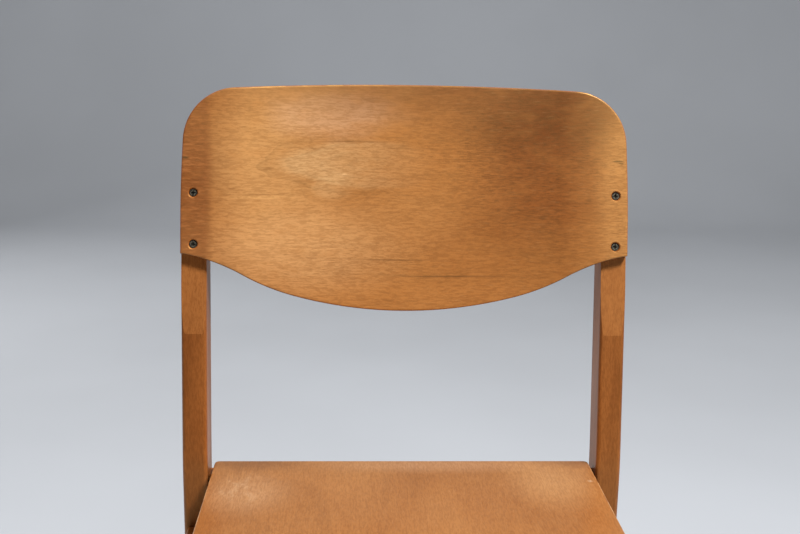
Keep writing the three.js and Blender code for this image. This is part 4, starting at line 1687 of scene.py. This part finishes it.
@dataclass
class Glides:
    """The four moulded glides under the feet."""

    finish: Material
    radius: float = 10 * MM
    height: float = 5 * MM
    lower_round: float = 1.5 * MM
    upper_chamfer: float = 0.6 * MM
    dish: float = 0.25 * MM
    dish_edge: Pair = (1.2 * MM, 0.8 * MM)
    bore: float = 1.8 * MM
    socket: float = 3.2 * MM
    across: float = 217 * MM
    places: dict[End, float] = field(
        default_factory=lambda: {End.FRONT: -169.325 * MM, End.REAR: 201.35 * MM}
    )
    round_steps: int = 6
    segments: int = 56

    def build(self) -> None:
        """Turns the glides."""
        curve = self.lower_round
        rest = self.radius - curve
        inner, outer = (rest - edge for edge in self.dish_edge)
        turns = [math.pi / 2 * step / self.round_steps for step in range(self.round_steps + 1)]
        profile = [
            (0.0, self.dish),
            (inner, self.dish),
            (outer, 0.0),
            *((rest + curve * math.sin(turn), curve * (1 - math.cos(turn))) for turn in turns),
            (self.radius, self.height - self.upper_chamfer),
            (self.radius - self.upper_chamfer, self.height),
            (self.bore, self.height),
            (self.bore, self.height - self.socket),
            (0.0, self.height - self.socket),
        ]
        for side in Side:
            for end in End:
                name = f"glide_{end.value}_{side.word}"
                place = Vector((side.value * self.across, self.places[end], 0.0))
                blank = lathe(profile, self.segments, Matrix.Translation(place))
                blank.finish(f"moulded_{name}", self.finish, "glide_plastic", name)


# The studio


@dataclass(frozen=True)
class Lamp:
    """A rectangular lamp: its angle to the right and above in degrees, distance and watts.

    One that isn't mirrored doesn't show in shiny surfaces.
    """

    name: str
    turn: float
    rise: float
    distance: float
    size: Pair
    power: float
    mirrored: bool = True

    def hang(self, target: Vector) -> None:
        """Hangs the lamp.

        Args:
            target: what it points at.
        """
        turn, rise = math.radians(self.turn), math.radians(self.rise)
        level = math.cos(rise)
        away = Vector((math.sin(turn) * level, -math.cos(turn) * level, math.sin(rise)))
        lamp = bpy.data.lights.new(self.name, "AREA")
        lamp.shape = "RECTANGLE"
        lamp.size, lamp.size_y = self.size
        lamp.energy = self.power
        thing = bpy.data.objects.new(self.name, lamp)
        thing.location = target + away * self.distance
        thing.rotation_euler = away.to_track_quat("Z", "Y").to_euler()
        thing.visible_camera = False
        thing.visible_glossy = self.mirrored
        bpy.context.scene.collection.objects.link(thing)


LAMPS = (
    Lamp("key_lamp", 48.0, 54.0, distance=3.2, size=(0.7, 0.7), power=204.0),
    Lamp("side_lamp", 24.0, 8.0, distance=3.2, size=(1.4, 0.7), power=3.0),
    Lamp("left_lamp", -88.0, 16.0, distance=3.0, size=(1.6, 1.2), power=44.0, mirrored=False),
    Lamp("back_lamp", 170.0, 50.0, distance=2.8, size=(2.0, 1.6), power=8.0),
    Lamp("rear_lamp", -142.0, 14.0, distance=3.2, size=(1.6, 1.2), power=20.0, mirrored=False),
)


@dataclass
class Studio:
    """A pale floor that curves up behind the chair, soft lamps and the camera."""

    focal: float = 52.65
    place: Triple = (-0.05312, -0.99930, 0.93734)
    pitch: float = math.radians(13.807)
    yaw: float = math.radians(2.336)
    roll: float = math.radians(0.917)
    middle: Triple = (0.0, 0.2, 0.72)
    paper: Colour = screen(184, 187, 192)
    paper_shade: float = 0.93
    world: Colour = (0.94, 0.97, 1.0, 1.0)
    world_strength: float = 0.08
    floor_half: float = 7.0
    floor_front: float = -5.0
    floor_back: float = 3.4
    floor_curve: float = 1.2
    floor_top: float = 5.0
    sensor_width: float = 36.0
    far_limit: float = 100.0

    def build(self) -> None:
        """Sets up the floor, the world, the lamps and the camera."""
        self.lay_floor()
        self.light()
        self.aim()

    def lay_floor(self) -> None:
        """Lays the floor and curves it up behind the chair."""
        blank = Blank()
        mesh = blank.mesh
        line = Line(mesh, (self.floor_front, 0.0))
        line.straight((self.floor_back, 0.0))
        line.turn((self.floor_back, self.floor_curve), math.pi / 2, steps=24)
        line.straight((self.floor_back + self.floor_curve, self.floor_top))
        made = bmesh.ops.extrude_edge_only(mesh, edges=mesh.edges[:])
        moved = pick(made["geom"], BMVert)
        bmesh.ops.translate(mesh, vec=UP * 2 * self.floor_half, verts=moved)
        blank.put(axes(ACROSS * -self.floor_half, BACKWARD, UP, ACROSS))
        for face in mesh.faces:
            face.smooth = True
        floor = blank.as_object("floor")
        sheet = NodeSheet("pale_paper")
        darker = tuple(self.paper_shade * value for value in self.paper[:3]) + (1.0,)
        sheet.set(Base_Color=sheet.blend(sheet.shown(PAPER), darker, self.paper))
        sheet.set(Roughness=0.85)
        floor.data.materials.append(sheet.material)

    def light(self) -> None:
        """Sets an even world and hangs the lamps round the backrest."""
        world = bpy.data.worlds.new("even_light")
        world.use_nodes = True
        backdrop = world.node_tree.nodes["Background"]
        backdrop.inputs["Color"].default_value = self.world
        backdrop.inputs["Strength"].default_value = self.world_strength
        bpy.context.scene.world = world
        for lamp in LAMPS:
            lamp.hang(Vector(self.middle))

    def aim(self) -> None:
        """Sets the camera at the photograph's viewing angle."""
        level, turn, tip = math.cos(self.pitch), math.sin(self.yaw), math.cos(self.yaw)
        ahead = Vector((turn * level, tip * level, -math.sin(self.pitch)))
        flat = Vector((tip, -turn, 0.0))
        over = flat.cross(ahead)
        right = flat * math.cos(self.roll) + over * math.sin(self.roll)
        over = over * math.cos(self.roll) - flat * math.sin(self.roll)
        lens = bpy.data.cameras.new("camera")
        lens.lens = self.focal
        lens.sensor_width = self.sensor_width
        lens.clip_end = self.far_limit
        camera = bpy.data.objects.new("camera", lens)
        camera.matrix_world = axes(Vector(self.place), right, over, -ahead)
        bpy.context.scene.collection.objects.link(camera)
        bpy.context.scene.camera = camera
        bpy.context.scene.view_settings.view_transform = "Standard"


# What the chair wears

BACK = WoodFinish(
    name="back_beech_ply",
    pale=screen(169, 104, 51),
    deep=screen(153, 89, 40),
    fleck=screen(98, 50, 22),
    bare=screen(208, 156, 104),
    rubbed=screen(140, 96, 72),
    fleck_strength=0.7,
    streak_strength=0.2,
    wear_strength=0.7,
    ply=9 * MM / 7,
    plies=7,
    roughness=0.45,
    sheen_tint=(1.0, 0.62, 0.21, 1.0),
    patches=(
        # painted sheen: the pale glow over the left of the hollow
        Patch((-142, 92, 92, 110), (190, 140, 90), 0.55),
        Patch((-42, 93, 98, 28), (204, 166, 120), 0.48, fade=0.34, rim=0.5, lean=1.0),
        Patch((-70, 146, 84, 36), (206, 162, 130), 0.55, rim=0.2),
        Patch((-72, 69, 34, 15), (206, 164, 116), 0.42, fade=0.5, rim=0.3, lean=1.0),
        # painted sheen: the paler lower left of the hollow
        Patch((-107, 5, 140, 64), (204, 152, 102), 0.65),
        # painted sheen: the paler middle of the hollow
        Patch((0, 30, 90, 60), (186, 126, 72), 0.4),
        # painted shade: the darker top right of the hollow
        Patch((156, 146, 140, 84), (90, 24, 2), 0.9),
        # painted shade: the darker right of the hollow, which turns from the key lamp
        Patch((142, 70, 108, 78), (114, 36, 4), 0.5),
        # the wood's flecks, darkened more on the right as painted shade of their relief
        Patch((142, 98, 150, 140), (80, 28, 8), 0.66, broken=0.85, flecks=(130, 900)),
        # painted shade: the darker band along the top
        Patch((0, 196, 350, 80), (108, 52, 26), 0.85),
        # painted shade: the darker flat left end
        Patch((-236, 80, 42, 260), (118, 52, 22), 0.75, fade=0.26),
        Patch((-220, 60, 30, 220), (184, 112, 62), 0.4, fade=0.9, broken=0.8, flecks=(90, 520)),
        # painted light: the paler flat right end
        Patch((240, 60, 50, 140), (194, 136, 78), 0.5, fade=0.5),
        Patch((228, 60, 40, 140), (96, 46, 18), 0.45, fade=0.9, broken=0.9, flecks=(120, 900)),
        Patch((44, -21.5, 84, 1.5), (92, 40, 16), 0.85, fade=1.0),
        Patch((-12, -5.9, 64, 1.3), (92, 40, 16), 0.7, fade=1.0),
        Patch((67, -45, 12, 3), (120, 62, 28), 0.7, broken=0.8),
        Patch((-15, -46.5, 13, 2.5), (120, 62, 28), 0.6, broken=0.8),
        Patch((-62, 116.4, 60, 1.5), (104, 50, 24), 0.75, fade=1.0),
        Patch((-150, 62.5, 52, 1.2), (110, 56, 24), 0.4, fade=1.0),
        Patch((-150, 59.6, 52, 2.4), (216, 162, 102), 0.4, fade=1.0),
        Patch((-225, 98.5, 6, 1.8), (50, 24, 12), 0.85),
        Patch((219, 98.8, 7, 1.1), (70, 38, 18), 0.95, fade=0.5),
        Patch((222, 96.9, 3.5, 0.9), (70, 38, 18), 0.8, fade=0.5),
        Patch((-65, 82.5, 8, 1.3), (236, 190, 138), 0.6),
        Patch((-178, 68.5, 7, 1.3), (112, 56, 22), 0.7),
        Patch((-142, 88.5, 10, 2.6), (112, 56, 22), 0.6),
    ),
)
SEAT = WoodFinish(
    name="seat_beech_ply",
    pale=screen(166, 109, 60),
    deep=screen(151, 92, 45),
    fleck=screen(106, 58, 28),
    bare=screen(214, 166, 116),
    drift=(3.0, 6.0, 6.0),
    ply=10 * MM / 7,
    plies=7,
    ring_strength=0.2,
    grain_strength=0.4,
    streak_strength=0.14,
    patches=(
        Patch((-90, -160, 70, 64), (204, 158, 116), 0.42, fade=0.9),
        Patch((-80, -168, 56, 36), (216, 176, 136), 0.34, broken=0.7),
        # painted reflection: the pale band along the rear edge
        Patch((-12, 30, 30, 170), (200, 156, 120), 0.36, fade=0.9),
        # painted shade: the darker rear left corner beside the upright
        Patch((-6, -160, 34, 80), (120, 72, 44), 0.7, fade=0.9),
        # painted shade: the darker rear right corner beside the upright
        Patch((-4, 180, 24, 60), (120, 72, 44), 0.75, fade=0.9),
        # painted reflection: the paler rear right
        Patch((-60, 150, 90, 60), (198, 148, 98), 0.45, fade=0.9),
        Patch((-57, 189, 3.5, 6), (240, 214, 184), 0.8, fade=0.6, broken=0.4),
        # painted reflection of the backrest: the darker patch right of the middle
        Patch((-110, 70, 60, 40), (150, 90, 44), 0.35, fade=0.9),
    ),
)
FRAME = WoodFinish(
    name="frame_beech",
    pale=screen(141, 82, 37),
    deep=screen(122, 67, 28),
    fleck=screen(84, 42, 18),
    bare=screen(160, 100, 51),
    drift=(2.2, 30.0, 30.0),
    ring_scale=(0.9, 22.0, 22.0),
    rings=7.0,
    waves=2 * MM,
    grain_strength=0.4,
    roughness=0.44,
    ior=1.751,
)
DOWEL = WoodFinish(
    name="raw_dowel_beech",
    pale=screen(222, 186, 142),
    deep=screen(204, 162, 116),
    fleck=screen(160, 112, 72),
    bare=screen(230, 198, 158),
    pattern=Pattern.PLACE,
    roughness=0.7,
    coat=0.0,
    wear_strength=0.0,
)
STEEL = MetalFinish(
    name="dull_steel",
    colour=screen(106, 102, 88),
    tarnish=screen(34, 30, 24),
    roughness=0.45,
    metallic=0.6,
    # the colour of the painted shade in the screws' crosses and round their heads
    dirt=screen(9, 8, 6),
)
ZINC = MetalFinish(
    name="zinc_pin",
    colour=screen(170, 172, 176),
    tarnish=screen(120, 120, 122),
    roughness=0.35,
)
GLIDE = PlasticFinish(name="brown_plastic", colour=screen(44, 34, 28), dust=screen(96, 84, 74))


def dress_node(node: bpy.types.Object, finish: Material) -> None:
    """Gives a solid that stays its own material.

    Args:
        node: the solid's object.
        finish: the material.
    """
    if not node.material_slots:
        node.data.materials.append(finish)
    for slot in node.material_slots:
        slot.material = finish
    log.info("%s: %s", node.name, finish.name)


def main() -> None:
    """Builds and dresses the chair, piece by piece."""
    logging.basicConfig(level=logging.INFO, format="%(message)s")
    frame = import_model()
    Studio().build()
    back = BackPanel(BACK.make())
    seat = SeatPanel(SEAT.make())
    legs = LegFrame(FRAME.make(), back, seat)
    screw = Screw(STEEL.make())
    back.build()
    seat.build()
    legs.build()
    back.fix(screw)
    legs.fix(screw)
    Glides(GLIDE.make()).build()
    finishes = {"dowel_": DOWEL.make(), "glide_pin_": ZINC.make()}
    for name, node in frame["nodes"].items():
        for start, finish in finishes.items():
            if name.startswith(start):
                dress_node(node, finish)


if __name__ == "__main__":
    main()
